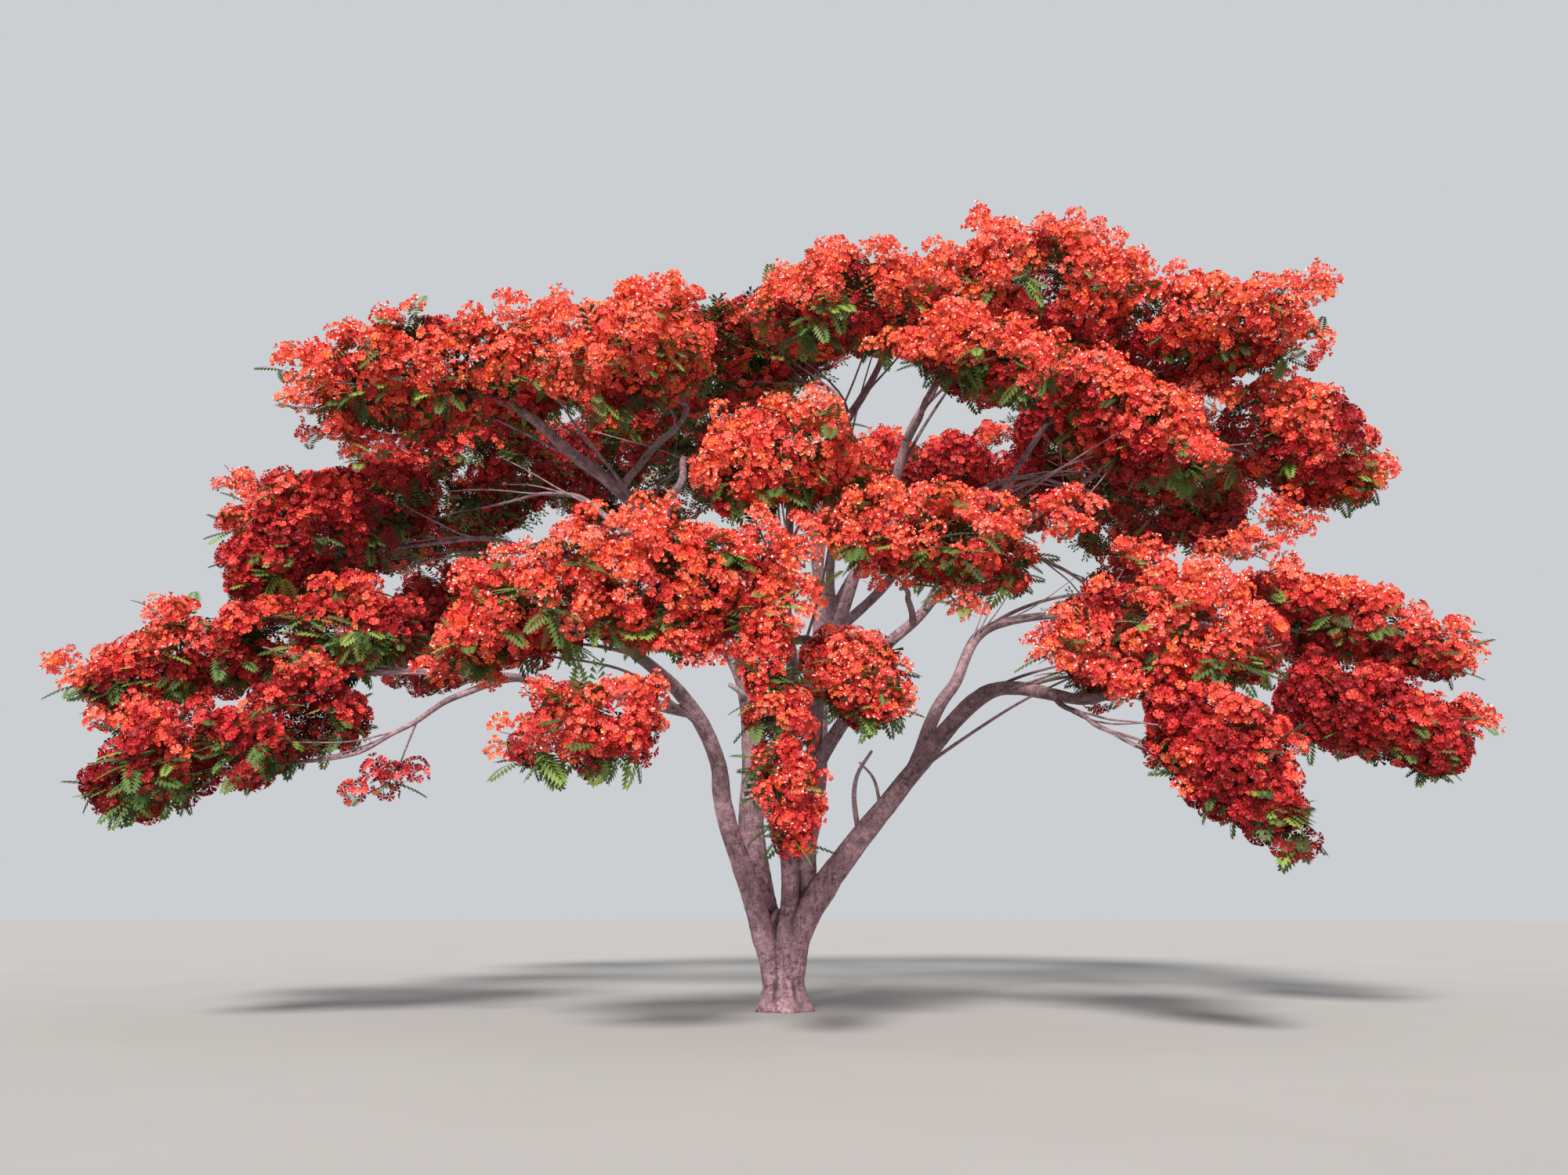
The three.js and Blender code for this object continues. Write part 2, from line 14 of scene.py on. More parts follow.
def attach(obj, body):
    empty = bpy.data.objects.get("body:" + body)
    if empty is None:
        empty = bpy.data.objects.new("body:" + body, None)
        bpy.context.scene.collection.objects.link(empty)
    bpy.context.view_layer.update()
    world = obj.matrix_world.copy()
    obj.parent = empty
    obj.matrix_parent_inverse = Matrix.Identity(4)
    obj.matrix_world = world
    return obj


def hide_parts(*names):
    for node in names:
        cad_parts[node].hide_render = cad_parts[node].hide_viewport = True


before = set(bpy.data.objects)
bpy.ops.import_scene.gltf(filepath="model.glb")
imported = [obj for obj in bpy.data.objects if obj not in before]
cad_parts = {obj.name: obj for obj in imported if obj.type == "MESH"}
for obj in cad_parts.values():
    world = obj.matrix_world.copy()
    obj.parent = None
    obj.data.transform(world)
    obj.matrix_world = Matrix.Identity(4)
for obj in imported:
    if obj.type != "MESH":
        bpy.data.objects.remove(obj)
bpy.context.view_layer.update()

# A shape's side is measured from UP, or from ACROSS where the shape points up more steeply than STEEP.
UP = np.array([0.0, 0.0, 1.0])
ACROSS = np.array([1.0, 0.0, 0.0])
STEEP = 0.9
FIRST_SEED = 1000
GOLDEN_ANGLE = math.pi * (3 - math.sqrt(5))

# Driving dimensions, in metres. The limbs and the places of the sprays follow the same rules as the solids.
TRUNK = Sizes(height=1.15, foot=0.38, waist=0.26, waist_height=0.6, crown=0.3, flare_power=2.0, lobes=5,
              lobe_depth=0.14, lobe_turn=0.6, stem_foot=0.35)
STEM_CUT = 2.25
LIMB = Sizes(tip_share=0.34, taper_power=1.2, swell=0.2, swell_length=0.07, near_tip=0.99, halvings=40)
ARCH = Sizes(leave=0.4, arrive=0.3, dip=0.4)
CROOK = Sizes(share=0.012, waves=2.3, rise=0.7, rise_waves=1.3, apart=2.4)
MOUTH = Sizes(back=0.62, under=0.85)
INNER_STEM = Sizes(reach=0.3, sink=0.3, tip_share=0.45, stretches=3)
TWIG = Sizes(foot=0.03, tip=0.014, keep=0.5, slender=0.7, low=0.35, high=0.8, back=0.2)
HEAD = Sizes(radius=0.47)
SPRAY = Sizes(area=1.25, fewest=7, skin_turn=1.3, inset=(0.8, 0.8, 0.4), least_inner=0.12, out_jitter=0.08,
              turn_jitter=0.5, face_up=0.35, from_space=0.5, from_limb=0.8, from_own_limb=0.3, limb_checks=16)

# The most stretches of wood that a mass can hold, how far a twig bends back from where its tip faces, and for
# each kind of twig the places along it, its sides and how far it sways.
MOST_WOOD = 600
SLANT = 0.16
SPUR_TUBE = Sizes(rings=7, sides=6, sway=0.05)
BARE_TUBE = Sizes(rings=5, sides=5, sway=0.04)
FINE_TUBE = Sizes(rings=3, sides=3, sway=0.06)

# The cover of finer twigs on each mass: the skin that one flower head takes, how far its place lies inside
# the mass's space, its twig, how far it keeps from wood, and how far it may reach into other masses.
FINE = Sizes(area=0.086, belts=80, lowest=-0.97, inset=(0.24, 0.24, 0.2), over_jitter=0.08, foot=0.008,
             tip=0.004, keep=0.8, slender=1, from_limb=0.09, from_space=-0.1, buried=-0.35)

# The relief of the cover: hollows between the sprays, loose depth, lumps, and swells that join the next mass.
# It is full in masses from one least radius up, and less in thinner ones.
COVER = Sizes(full=0.8, thinnest=0.35, hollow=0.3, most_hollow=1.3, hollow_spread=0.62, sink=0.2, lump=0.8,
              lump_scale=1.75, lump_in=0.24, lump_out=0.2, join=0.42, join_reach=1.6, join_from=0.35,
              join_full=0.7)

# The patch noise, below whose least value the cover opens. Its patches are smaller in thin masses.
PATCH = Sizes(scale=1.15, thinnest=0.4, least=-0.6)

# Painted shade: how much deeper the reds are painted in hollows, under the rim and on the side that faces the
# middle of the crown, and how much lighter, as painted light, they may be.
SHADE = Sizes(sunk=1.3, under=0.7, under_from=0.35, inner=1.2, inner_from=-0.05, lump=0.6, lightest=-1,
              deepest=1.4)
CROWN_MIDDLE = (0.0, 0.6, 5.2)

# An inner skin of plain flowers, which shows in the gaps between the heads, in somewhat deeper reds as
# painted shade. Thick masses keep it in their open patches too, in still deeper reds, painted shade.
LINING = Sizes(share=0.82, area=0.19, flowers=8, reach=0.13, size=1.6, shade=0.45, from_mass=0.5,
               open_shade=1.2, open_margin=0.08, thick=0.7)

# Dark leaves deep inside each mass, dealt the deep and shaded tones as painted shade, which close it against
# the light behind.
CORE = Sizes(share=0.6, area=0.26, leaves=3, tones=(0, 0, 0.25, 0.75))

# A head of flowers: how far its twig's tip and its stalks reach, how its flowers spread, which kinds they
# are, and what the shade changes.
CORYMB = Sizes(reach=0.28, flowers=20, rise=0.03, axis=0.09, stalk=0.13, stalk_jitter=0.36, spread=92,
               spread_jitter=10, kinds=(0.4, 0.35, 0.25), own_tone=0.6, larger_in_shade=0.3,
               plain_in_shade=1.8, plain_from=0.15, buds=2, bud_spread=50, bud_rise=0.16, bud_out=0.07)
FLOWER = Sizes(petals=5, petal=0.055, width=0.042, widest=0.8, open=68, half_open=52, wide_open=82,
               plain_open=62, crumple=0.01, deeper_crumple=0.014, flatter=0.4, standard=0.045,
               standard_width=0.027, standard_open=40, stalk_width=0.004, stalk_widest=0.9,
               end_width=0.046, end=0.94)
BUD = Sizes(across=0.011, along=0.015, least=0.8, more=0.6)

# The shares of the petal tones in a head, by the painted shade where it hangs.
DEALT = Sizes(scarlet=0.46, scarlet_until=1.5, least_scarlet=0.2, flame=0.26, coral=0.24, crimson=0.05,
              more_crimson=0.6, shadow=1.6, shadow_from=0.6)

# A feathery leaf and how it hangs, and a plainer leaf with fewer blades that widen to their ends.
LEAF = Sizes(long=0.37, rib=0.007, rib_widest=0.3, pinnae=9, pinna=0.12, blade=0.038, first=0.6, along=0.94,
             swell_from=0.16, swell_turn=0.76, swell_power=0.7, slant=78, less_slant=38, droop=0.3,
             side_droop=0.22, spread=95, level=0.6, sink=0.12, least=0.75, more=0.5, face=0.5)
PLAIN_LEAF = Sizes(pairs=6, wider=1.3, end=0.94, slant=78, less_slant=8, first=0.3)

# The share of places that bear leaves instead of blossom, more under the rim and in patches, and of heads
# with leaves beside them.
LEAFY = Sizes(usual=0.06, rim=0.17, rim_from=0.5, patch=0.35, most_patch=0.5, each=5, beside=2.25,
              each_beside=2, tones=(0.22, 0.34, 0.32, 0.12))
LEAFY_MASSES = {"left": 0.14, "left_back": 0.36, "back_left_top": 0.36, "left_low": 0.16, "top_back": 0.4,
                "right_far": 0.08, "right_far_low": 0.12, "left_lowest": 0.2, "left_middle": 0.16,
                "right_back": 0.16}

STEMS = {
    "left_front": (205, 0.11),
    "left": (140, 0.1),
    "front": (275, 0.12),
    "centre": (30, 0.1),
    "right": (335, 0.05),
    "back": (70, 0.12),
}

# One row for each limb with the mass of foliage at its tip, as in the solids.
LIMBS = [
    dict(name="left_front", girth=0.31, knees=[(-0.66, -0.28, 2.2), (-0.95, -0.8, 3.3), (-1.5, -2.0, 4.2)],
         at=(-2.87, -4.6, 4.4), heading=190, slope=28, size=(2.15, 2, 1.25)),
    dict(name="left", girth=0.42, knees=[(-0.44, 0.2, 2.3), (-0.64, 0.2, 4.7), (-1.9, -0.5, 6.6)],
         at=(-4.55, -2.2, 8.23), heading=185, slope=2, size=(4.2, 2.5, 1.7)),
    dict(name="front", girth=0.27, knees=[(0.04, -0.2, 2.2), (0.05, -1.0, 4.4)],
         at=(-0.05, -4, 6.42), heading=262, slope=25, size=(2.2, 2.4, 1.45)),
    dict(name="centre", girth=0.27, knees=[(0.38, -0.05, 2.2), (0.45, -0.4, 5.2), (0.6, -0.8, 7.4)],
         at=(0.85, -1.8, 9.38), heading=240, slope=12, size=(2.9, 3, 1.6)),
    dict(name="right", girth=0.4,
         knees=[(0.3, -0.1, 1.25), (0.98, -0.35, 2.2), (1.76, -0.7, 3.1), (2.64, -1.4, 4.1)],
         at=(4.42, -3.6, 4.33), heading=345, slope=3, size=(3.3, 2.2, 1.65)),
    dict(name="back", girth=0.28, knees=[(0.34, 0.45, 2.2), (0.6, 1.7, 4.9), (1.3, 3.2, 7.2)],
         at=(2.75, 5.6, 9.1), heading=78, slope=14, size=(3.8, 5.6, 2)),

    dict(name="left_hanging", carrier=("left_front", 0.72), girth=0.07, leave=-20,
         at=(-2, -5.3, 3.15), heading=262, slope=30, size=(1.3, 1.6, 0.95)),
    dict(name="left_low", carrier=("left_front", 0.62), girth=0.14, leave=10,
         at=(-6.93, -1.9, 4.55), heading=162, slope=6, size=(5.6, 2.2, 1.4)),
    dict(name="left_lowest", carrier=("left_low", 0.5), girth=0.09, leave=-10,
         at=(-6.58, -2.8, 3.2), heading=186, slope=18, size=(3.4, 1.9, 1.15)),
    dict(name="front_left", carrier=("left", 0.4), girth=0.13, leave=60,
         at=(-1.15, -4.6, 4.7), heading=200, slope=12, size=(2.7, 1.8, 1.7)),
    dict(name="left_upper", carrier=("left", 0.83), girth=0.12, leave=50,
         at=(-1.9, -2.6, 8.38), heading=235, slope=18, size=(2.5, 2.2, 1.6)),
    dict(name="left_middle", carrier=("left", 0.52), girth=0.16, leave=35,
         at=(-6.5, -0.2, 6.65), heading=184, slope=30, size=(3.8, 2.9, 2)),
    dict(name="left_back", carrier=("left", 0.62), girth=0.15, leave=35,
         at=(-5.8, 3.1, 8.35), heading=155, slope=20, size=(4.6, 3.8, 2)),
    dict(name="back_left_top", carrier=("left", 0.72), girth=0.15, leave=55,
         at=(-2.6, 4.9, 9.4), heading=118, slope=14, size=(4, 4.6, 1.8)),

    dict(name="front_hanging", carrier=("front_left", 0.66), girth=0.07, leave=-15,
         at=(-0.1, -5.05, 3.38), heading=311, slope=78, size=(3.3, 0.7, 0.9)),
    dict(name="centre_low", carrier=("centre", 0.36), girth=0.09, leave=30,
         at=(0.74, -4, 3.83), heading=345, slope=34, size=(1.5, 0.95, 0.95)),
    dict(name="top_right", carrier=("centre", 0.44), girth=0.19, knees=[(1.12, -1.1, 6.1), (1.7, -1.6, 7.5)],
         at=(3.6, -1.3, 9.93), heading=5, slope=2, size=(3.6, 2.8, 1.9)),
    dict(name="upper_right_front", carrier=("top_right", 0.66), girth=0.1, leave=25,
         at=(2.6, -2.9, 8.2), heading=310, slope=28, size=(2.1, 1.9, 1.1)),
    dict(name="right_upper", carrier=("centre", 0.34), girth=0.2,
         knees=[(1.28, -0.6, 4.6), (2.3, -1.0, 5.85)],
         at=(4.5, -2.2, 7.6), heading=330, slope=36, size=(3.1, 2.3, 1.6)),
    dict(name="front_right", carrier=("right_upper", 0.5), girth=0.09, leave=25,
         at=(1.72, -3.8, 5.45), heading=285, slope=14, size=(2, 3, 1.15)),

    dict(name="right_hanging", carrier=("right", 0.88), girth=0.1, leave=-5,
         at=(4.62, -4.5, 2.95), heading=335, slope=45, size=(2.75, 1.4, 1.3)),
    dict(name="right_far", carrier=("right", 0.6), girth=0.2, knees=[(2.3, -0.5, 4.3), (3.35, -0.3, 5.35)],
         at=(7.85, -0.5, 5.2), heading=350, slope=24, size=(3.6, 2.6, 1.15)),
    dict(name="right_far_low", carrier=("right_far", 0.8), girth=0.1, leave=-5,
         at=(7.65, -1.4, 3.73), heading=342, slope=24, size=(2.8, 1.9, 1.3)),
    dict(name="right_outer", carrier=("right_upper", 0.7), girth=0.11, leave=25,
         at=(7.6, -0.3, 8), heading=0, slope=34, size=(3.2, 2.8, 1.8)),
    dict(name="right_top", carrier=("right_outer", 0.5), girth=0.09, leave=60,
         at=(5.98, -1.1, 9.38), heading=350, slope=2, size=(3.4, 2.5, 1.6)),

    dict(name="top_back", carrier=("back", 0.62), girth=0.15, leave=70,
         at=(-1, 1.6, 10.15), heading=175, slope=8, size=(4.2, 3.6, 1.5)),
    dict(name="right_back", carrier=("back", 0.55), girth=0.17, leave=40,
         at=(6.1, 3.1, 8.75), heading=28, slope=20, size=(5.3, 4.2, 2.6)),
    dict(name="back_left_low", carrier=("back", 0.5), girth=0.15, leave=35,
         at=(-6.3, 6, 6.6), heading=135, slope=35, size=(3.4, 3.4, 1.3)),
    dict(name="back_right_low", carrier=("right_back", 0.45), girth=0.11, leave=15,
         at=(6.9, 6.0, 6.6), heading=45, slope=40, size=(3.4, 3.4, 1.2)),
]

# Bare sprouts: their limb, the share of it where each one leaves, its radii and its knees.
SPROUTS = [
    ("right", 0.41, 0.04, 0.02, [(0.95, -0.52, 2.75), (1.0, -0.55, 3.1), (1.2, -0.55, 3.42)]),
    ("right", 0.5, 0.03, 0.013, [(1.22, -0.6, 3.02), (1.02, -0.62, 3.26)]),
    ("left", 0.44, 0.045, 0.035, [(-0.6, -0.02, 4.3), (-0.78, -0.1, 4.42)]),
]
DEAD_FAN = Sizes(carriers=("right_far", "right_upper"), count=12, first=0.48, spread=0.22, bearing=-40,
                 fan=70, length=1.3, least=0.6, more=0.8, sag=0.05, foot=0.014, tip=0.005, rings=12, sides=8)

# Sprigs that hang below a mass: the share of the limb where each one leaves, how deep its reds are painted as
# shade, its knees and its heads of blossom.
SPRIGS = {
    "left_lowest": [
        (0.5, 1.1, [(-4.6, -2.6, 3.05), (-4.72, -2.62, 2.8), (-4.95, -2.65, 2.66)],
         [(-4.85, -2.7, 2.86), (-4.62, -2.75, 2.78), (-4.4, -2.7, 2.82), (-4.75, -2.6, 2.62),
          (-5.1, -2.7, 2.6)]),
    ],
    "front_right": [
        (0.95, 0.1, [(1.8, -3.6, 4.95), (1.98, -3.85, 4.72)],
         [(1.92, -3.9, 4.86), (2.1, -3.9, 4.74), (2.18, -3.95, 4.52), (1.98, -3.9, 4.5), (1.82, -3.9, 4.66),
          (2.04, -4.0, 4.62), (1.9, -4.0, 4.72), (2.12, -3.8, 4.6)]),
    ],
    "front_left": [
        (0.97, 0.2, [(-0.9, -4.4, 4.2), (-1.08, -4.65, 4.05)],
         [(-1.22, -4.7, 4.08), (-1.05, -4.75, 3.96), (-0.9, -4.75, 4.1), (-1.35, -4.7, 3.98)]),
    ],
}

# Masses whose foliage is kept apart from the rest of their stem's, so that no piece grows too large.
FOLIAGE_GROUPS = {"left_back": "left_back", "back_left_top": "left_back", "right_back": "right_back",
                  "back_right_low": "right_back", "right_outer": "right_outer", "right_top": "right_outer",
                  "left_low": "left_low", "left_lowest": "left_low"}

# Masses whose inner side is mostly twigs and dark leaves: how far inward a place faces there, and the least
# value of the patch noise that still bears blossom.
OPEN_INSIDE = Sizes(masses=("left_back", "back_left_top", "left_middle", "right_back"), inward=0.25,
                    patch_least=0.04)

# The groups at the back, all of whose leaves are the plainer kind.
PLAIN_LEAVED = ("back", "left_back", "right_back")

# The size of the flower heads in the nearest masses, where they are seen best, as a share of the usual size.
HEAD_SIZES = {"front_hanging": 0.66, "centre_low": 0.74, "left_hanging": 0.76, "front_left": 0.84,
              "front": 0.84, "left_front": 0.84, "right": 0.84, "right_hanging": 0.8, "front_right": 0.78,
              "left_low": 0.86, "left_lowest": 0.86, "centre": 0.88, "upper_right_front": 0.88,
              "left_upper": 0.9}

# Masses whose cover is drawn in: the share that it keeps ahead, across and upwards.
SLIM = {"front_hanging": (1, 0.8, 0.8), "right_hanging": (0.86, 1, 1)}

# Loose clumps of blossom beside the masses: their middle, how wide and how high they are, how many heads they
# hold, and how deep their reds are painted as shade.
CLUMPS = {
    "left": [(-3.32, -2.3, 8.96, 0.5, 0.3, 17, -0.6), (-5.84, -2.0, 7.32, 0.55, 0.22, 17, 0.3),
             (-6.35, -2.2, 8.1, 0.35, 0.45, 17, -0.3)],
    "left_upper": [(-1.57, -2.5, 9.2, 0.45, 0.25, 14, -0.7)],
    "left_middle": [(-7.88, -0.3, 6.98, 0.35, 0.45, 17, 0.0)],
    "left_low": [(-9.0, -2.1, 4.19, 0.28, 0.16, 7, -0.1), (-7.66, -2.6, 4.62, 0.25, 0.35, 12, 0.0),
                 (-8.05, -2.3, 3.55, 0.5, 0.3, 14, 0.4), (-5.76, -2.6, 4.21, 0.5, 0.3, 14, 0.4)],
    "left_hanging": [(-1.36, -5.1, 3.24, 0.15, 0.36, 10, -0.1), (-2.72, -5.0, 2.95, 0.25, 0.25, 10, 0.1)],
    "left_front": [(-3.46, -4.4, 3.72, 0.45, 0.14, 10, 0.2)],
    "front": [(0.13, -4.5, 4.5, 0.24, 0.45, 13, 0.0), (0.1, -4.5, 5.16, 0.3, 0.35, 12, -0.1)],
    "front_left": [(-1.0, -4.7, 3.92, 0.5, 0.12, 12, 0.2)],
    "centre": [(1.69, -2.9, 8.1, 0.65, 0.2, 20, 0.0)],
    "centre_low": [(1.05, -4.2, 3.45, 0.3, 0.16, 10, 0.2), (0.65, -4.3, 3.75, 0.25, 0.25, 10, 0.1)],
    "front_hanging": [(0.28, -5.0, 2.4, 0.14, 0.26, 10, 0.2)],
    "front_right": [(1.2, -4.0, 4.95, 0.35, 0.16, 12, 0.1)],
    "upper_right_front": [(2.83, -2.6, 7.69, 0.4, 0.14, 9, 0.0)],
    "right_upper": [(3.6, -2.4, 6.13, 0.35, 0.4, 14, 0.1)],
    "right_outer": [(7.3, -0.4, 6.76, 0.42, 0.3, 14, 0.0), (6.1, -0.8, 8.41, 0.38, 0.32, 13, 0.3)],
    "right_top": [(7.58, -1.0, 10.0, 0.35, 0.25, 12, -0.4)],
    "right": [(3.05, -4.0, 4.15, 0.3, 0.35, 16, 0.0), (3.75, -4.1, 3.75, 0.4, 0.2, 14, 0.3),
              (4.14, -3.2, 5.36, 0.45, 0.2, 12, 0.1), (6.06, -1.6, 5.93, 0.65, 0.18, 16, 0.1)],
    "right_far": [(9.25, -0.7, 4.62, 0.25, 0.18, 9, 0.0)],
    "right_far_low": [(8.98, -1.3, 3.62, 0.22, 0.2, 9, 0.2)],
    "right_hanging": [(4.36, -4.6, 2.65, 0.3, 0.3, 13, 0.3)],
}

# How the heads of the sprigs and clumps face, and the patch noise that they count as standing in.
LOOSE_HEADS = Sizes(facing=(0.0, -0.5, 1.0), patch=0.5)

# Masses with gaps in their cover: the least value of the patch noise that still bears blossom.
OPEN_MASSES = {"front_hanging": -0.32, "centre_low": -0.3, "front_right": -0.14, "left_low": -0.2,
               "left_lowest": -0.24, "left_middle": -0.22, "left": -0.3, "right_far_low": -0.26,
               "right_far": -0.3, "right_outer": -0.26, "right_upper": -0.28, "right_back": -0.25,
               "left_back": -0.25, "back": -0.3, "back_left_top": -0.3, "right_top": -0.26,
               "left_hanging": -0.06, "centre": -0.35, "right": -0.35, "top_right": -0.35}

# How much deeper the reds of a mass are than its own hollows make them. Inner and lower masses stand in
# shade, and upper ones in the sun.
SHADED_MASSES = {"left_middle": 0.5, "left_lowest": 0.75, "left_low": 0.3, "left_back": 0.4,
                 "back_left_top": 0.4, "right_back": 0.4, "back": 0.4, "top_back": 0.15,
                 "back_left_low": 0.5, "back_right_low": 0.5, "right_outer": -0.8, "right_top": -0.5,
                 "top_right": -0.8, "left": -0.7, "left_upper": -0.9, "centre": -0.9,
                 "upper_right_front": -0.6, "front": -0.6, "right": -0.4,
                 "front_left": -0.3, "left_front": -0.3, "right_upper": -0.4, "front_right": -0.3,
                 "front_hanging": 0.2, "right_hanging": 0.6, "right_far_low": 0.7, "left_hanging": 0.2}

# The bark's relief: sizes of its lumps and wrinkles by a limb's radius, and the trunk's own seams and mesh.
RELIEF = Sizes(lump=0.09, lump_scale=2.6, wrinkle=0.035, wrinkle_scale=11.0)
BOUGH = Sizes(sides=16, tip_sides=10, thick=0.1, ring_gap=0.06, fewest=6, fewest_inner=5, measured=50)
BOLE = Sizes(sides=120, rings=40, voxel=0.017, smooth_rounds=2, relief=0.2, hidden=0.4, sunk_foot=0.25,
             sunk_length=3, overlap=0.12, proud=0.035, tuck=0.4, foot_rings=60, dome=0.4, hollow_rounds=14,
             hollow_depth=0.012)
SEAM = Sizes(foot=0.12, depth=0.34, width=0.13)

# Branches that leave a bough before its mass: the stretch of the bough that bears them, where in the mass
# they end, how they bend and how thick they are.
BRANCH = Sizes(each=4, first=0.42, last=0.92, near=-0.75, deep=1.2, beside=0.75, under=0.35, ahead=0.03,
               held=0.35, wander=0.012, waves=9, phase=6.28, rise=0.6, ring_gap=0.16, fewest=8, foot=0.034,
               tip=0.009, keep=0.45, sides=7)

# The two colours between which each petal and leaf drifts, the tones of the bark at the fork and the darker
# ones higher up, painted shade under the crown, and the height where the one has turned into the other.
# Flame and coral are dealt out as painted light; crimson is partly the flowers' own deeper red and partly
# painted shade, and the shadow tone is painted shade.
PETAL_TONES = {
    "scarlet": ((0.78, 0.04, 0.03), (1.0, 0.115, 0.08)),
    "flame": ((0.92, 0.085, 0.03), (1.0, 0.185, 0.06)),
    "crimson": ((0.32, 0.008, 0.012), (0.66, 0.03, 0.032)),
    "coral": ((0.95, 0.11, 0.07), (1.0, 0.205, 0.13)),
    "shadow": ((0.16, 0.004, 0.007), (0.34, 0.01, 0.014)),
}
# The deep leaf tone is partly a darker green and partly painted shade; the shaded tone is painted shade.
LEAF_TONES = {
    "fresh": ((0.15, 0.25, 0.045), (0.24, 0.33, 0.07)),
    "green": ((0.075, 0.14, 0.035), (0.13, 0.2, 0.05)),
    "deep": ((0.055, 0.11, 0.028), (0.1, 0.17, 0.04)),
    "shaded": ((0.03, 0.055, 0.018), (0.06, 0.09, 0.026)),
}
BARK_LOW = Sizes(dark=(0.1, 0.045, 0.06), pale=(0.88, 0.52, 0.59), top=3.3)
# Painted shade: the bark higher up is darker, as under the crown.
BARK_SHADED_HIGH = Sizes(dark=(0.085, 0.045, 0.055), pale=(0.5, 0.31, 0.345))
BUMPS = Sizes(petal=0.3, stalk=0.2, leaf=0.4, living_height=0.002, bark=0.7, bark_height=0.014)
SOFT_SHEEN = 0.26

# The camera of the photo, the floor, the main light and the surround. Angles are in degrees.
CAMERA = Sizes(back=17.9, height=1.33, pitch=14.2, lens=29.15, sensor=36.0, farthest=500)
FLOOR = Sizes(radius=150, corners=96, patches=0.35, roughness=0.9)
SUN = Sizes(energy=4.9, angle=14, colour=(1.0, 0.96, 0.92), turn=(53, -14, 0))
SKY = Sizes(colour=(0.84, 0.87, 0.92, 1), strength=0.58, backdrop=(0.60, 0.62, 0.645, 1))


def unit(v):
    v = np.asarray(v, float)
    return v / np.linalg.norm(v, axis=-1, keepdims=True)


def direction(bearing, rise=0.0):
    """The level direction of a bearing, tipped up by a rise. Both are in degrees."""
    level = math.cos(math.radians(rise))
    return np.array([
        level * math.cos(math.radians(bearing)),
        level * math.sin(math.radians(bearing)),
        math.sin(math.radians(rise)),
    ])


def left_of(span):
    """The level direction to the left of a span."""
    return unit([-span[1], span[0], 0])


def bent_path(foot, middle, tip, along):
    """Places along a bend that leaves its foot towards the middle and comes to its tip from there."""
    return (1 - along) ** 2 * foot + 2 * along * (1 - along) * middle + along**2 * tip


def seeded(seed):
    """A repeatable stream of numbers from 0 to 1, the same as the solids draw from."""
    state = seed
    while True:
        state = (state * 1664525 + 1013904223) & 0xFFFFFFFF
        yield state / 4294967296


def arch_between(root, leaving, tip, arriving):
    """An arch that leaves its root and comes to its tip in the given directions."""
    span = np.linalg.norm(tip - root)
    held = np.array([root, root + leaving * span * ARCH.leave, tip - arriving * span * ARCH.arrive, tip])

    def arch(t):
        t = np.asarray(t, float)[..., None]
        s = 1 - t
        return s**3 * held[0] + 3 * s**2 * t * held[1] + 3 * s * t**2 * held[2] + t**3 * held[3]

    return arch


def arch_through(root, knees, tip):
    """A smooth arch that passes through the given knees."""
    inner = np.array([root, *knees, tip], float)
    held = np.vstack([2 * inner[0] - inner[1], inner, 2 * inner[-1] - inner[-2]])
    spans = len(inner) - 1

    def arch(t):
        s = np.clip(np.asarray(t, float), 0, 1) * spans
        k = np.minimum(np.floor(s).astype(int), spans - 1)
        w = (s - k)[..., None]
        before, here, there, after = (held[k + i] for i in range(4))
        leave = 0.5 * (there - before)
        arrive = 0.5 * (after - here)
        square = -3 * here + 3 * there - 2 * leave - arrive
        cube = 2 * here - 2 * there + leave + arrive
        return here + leave * w + square * w**2 + cube * w**3

    return arch


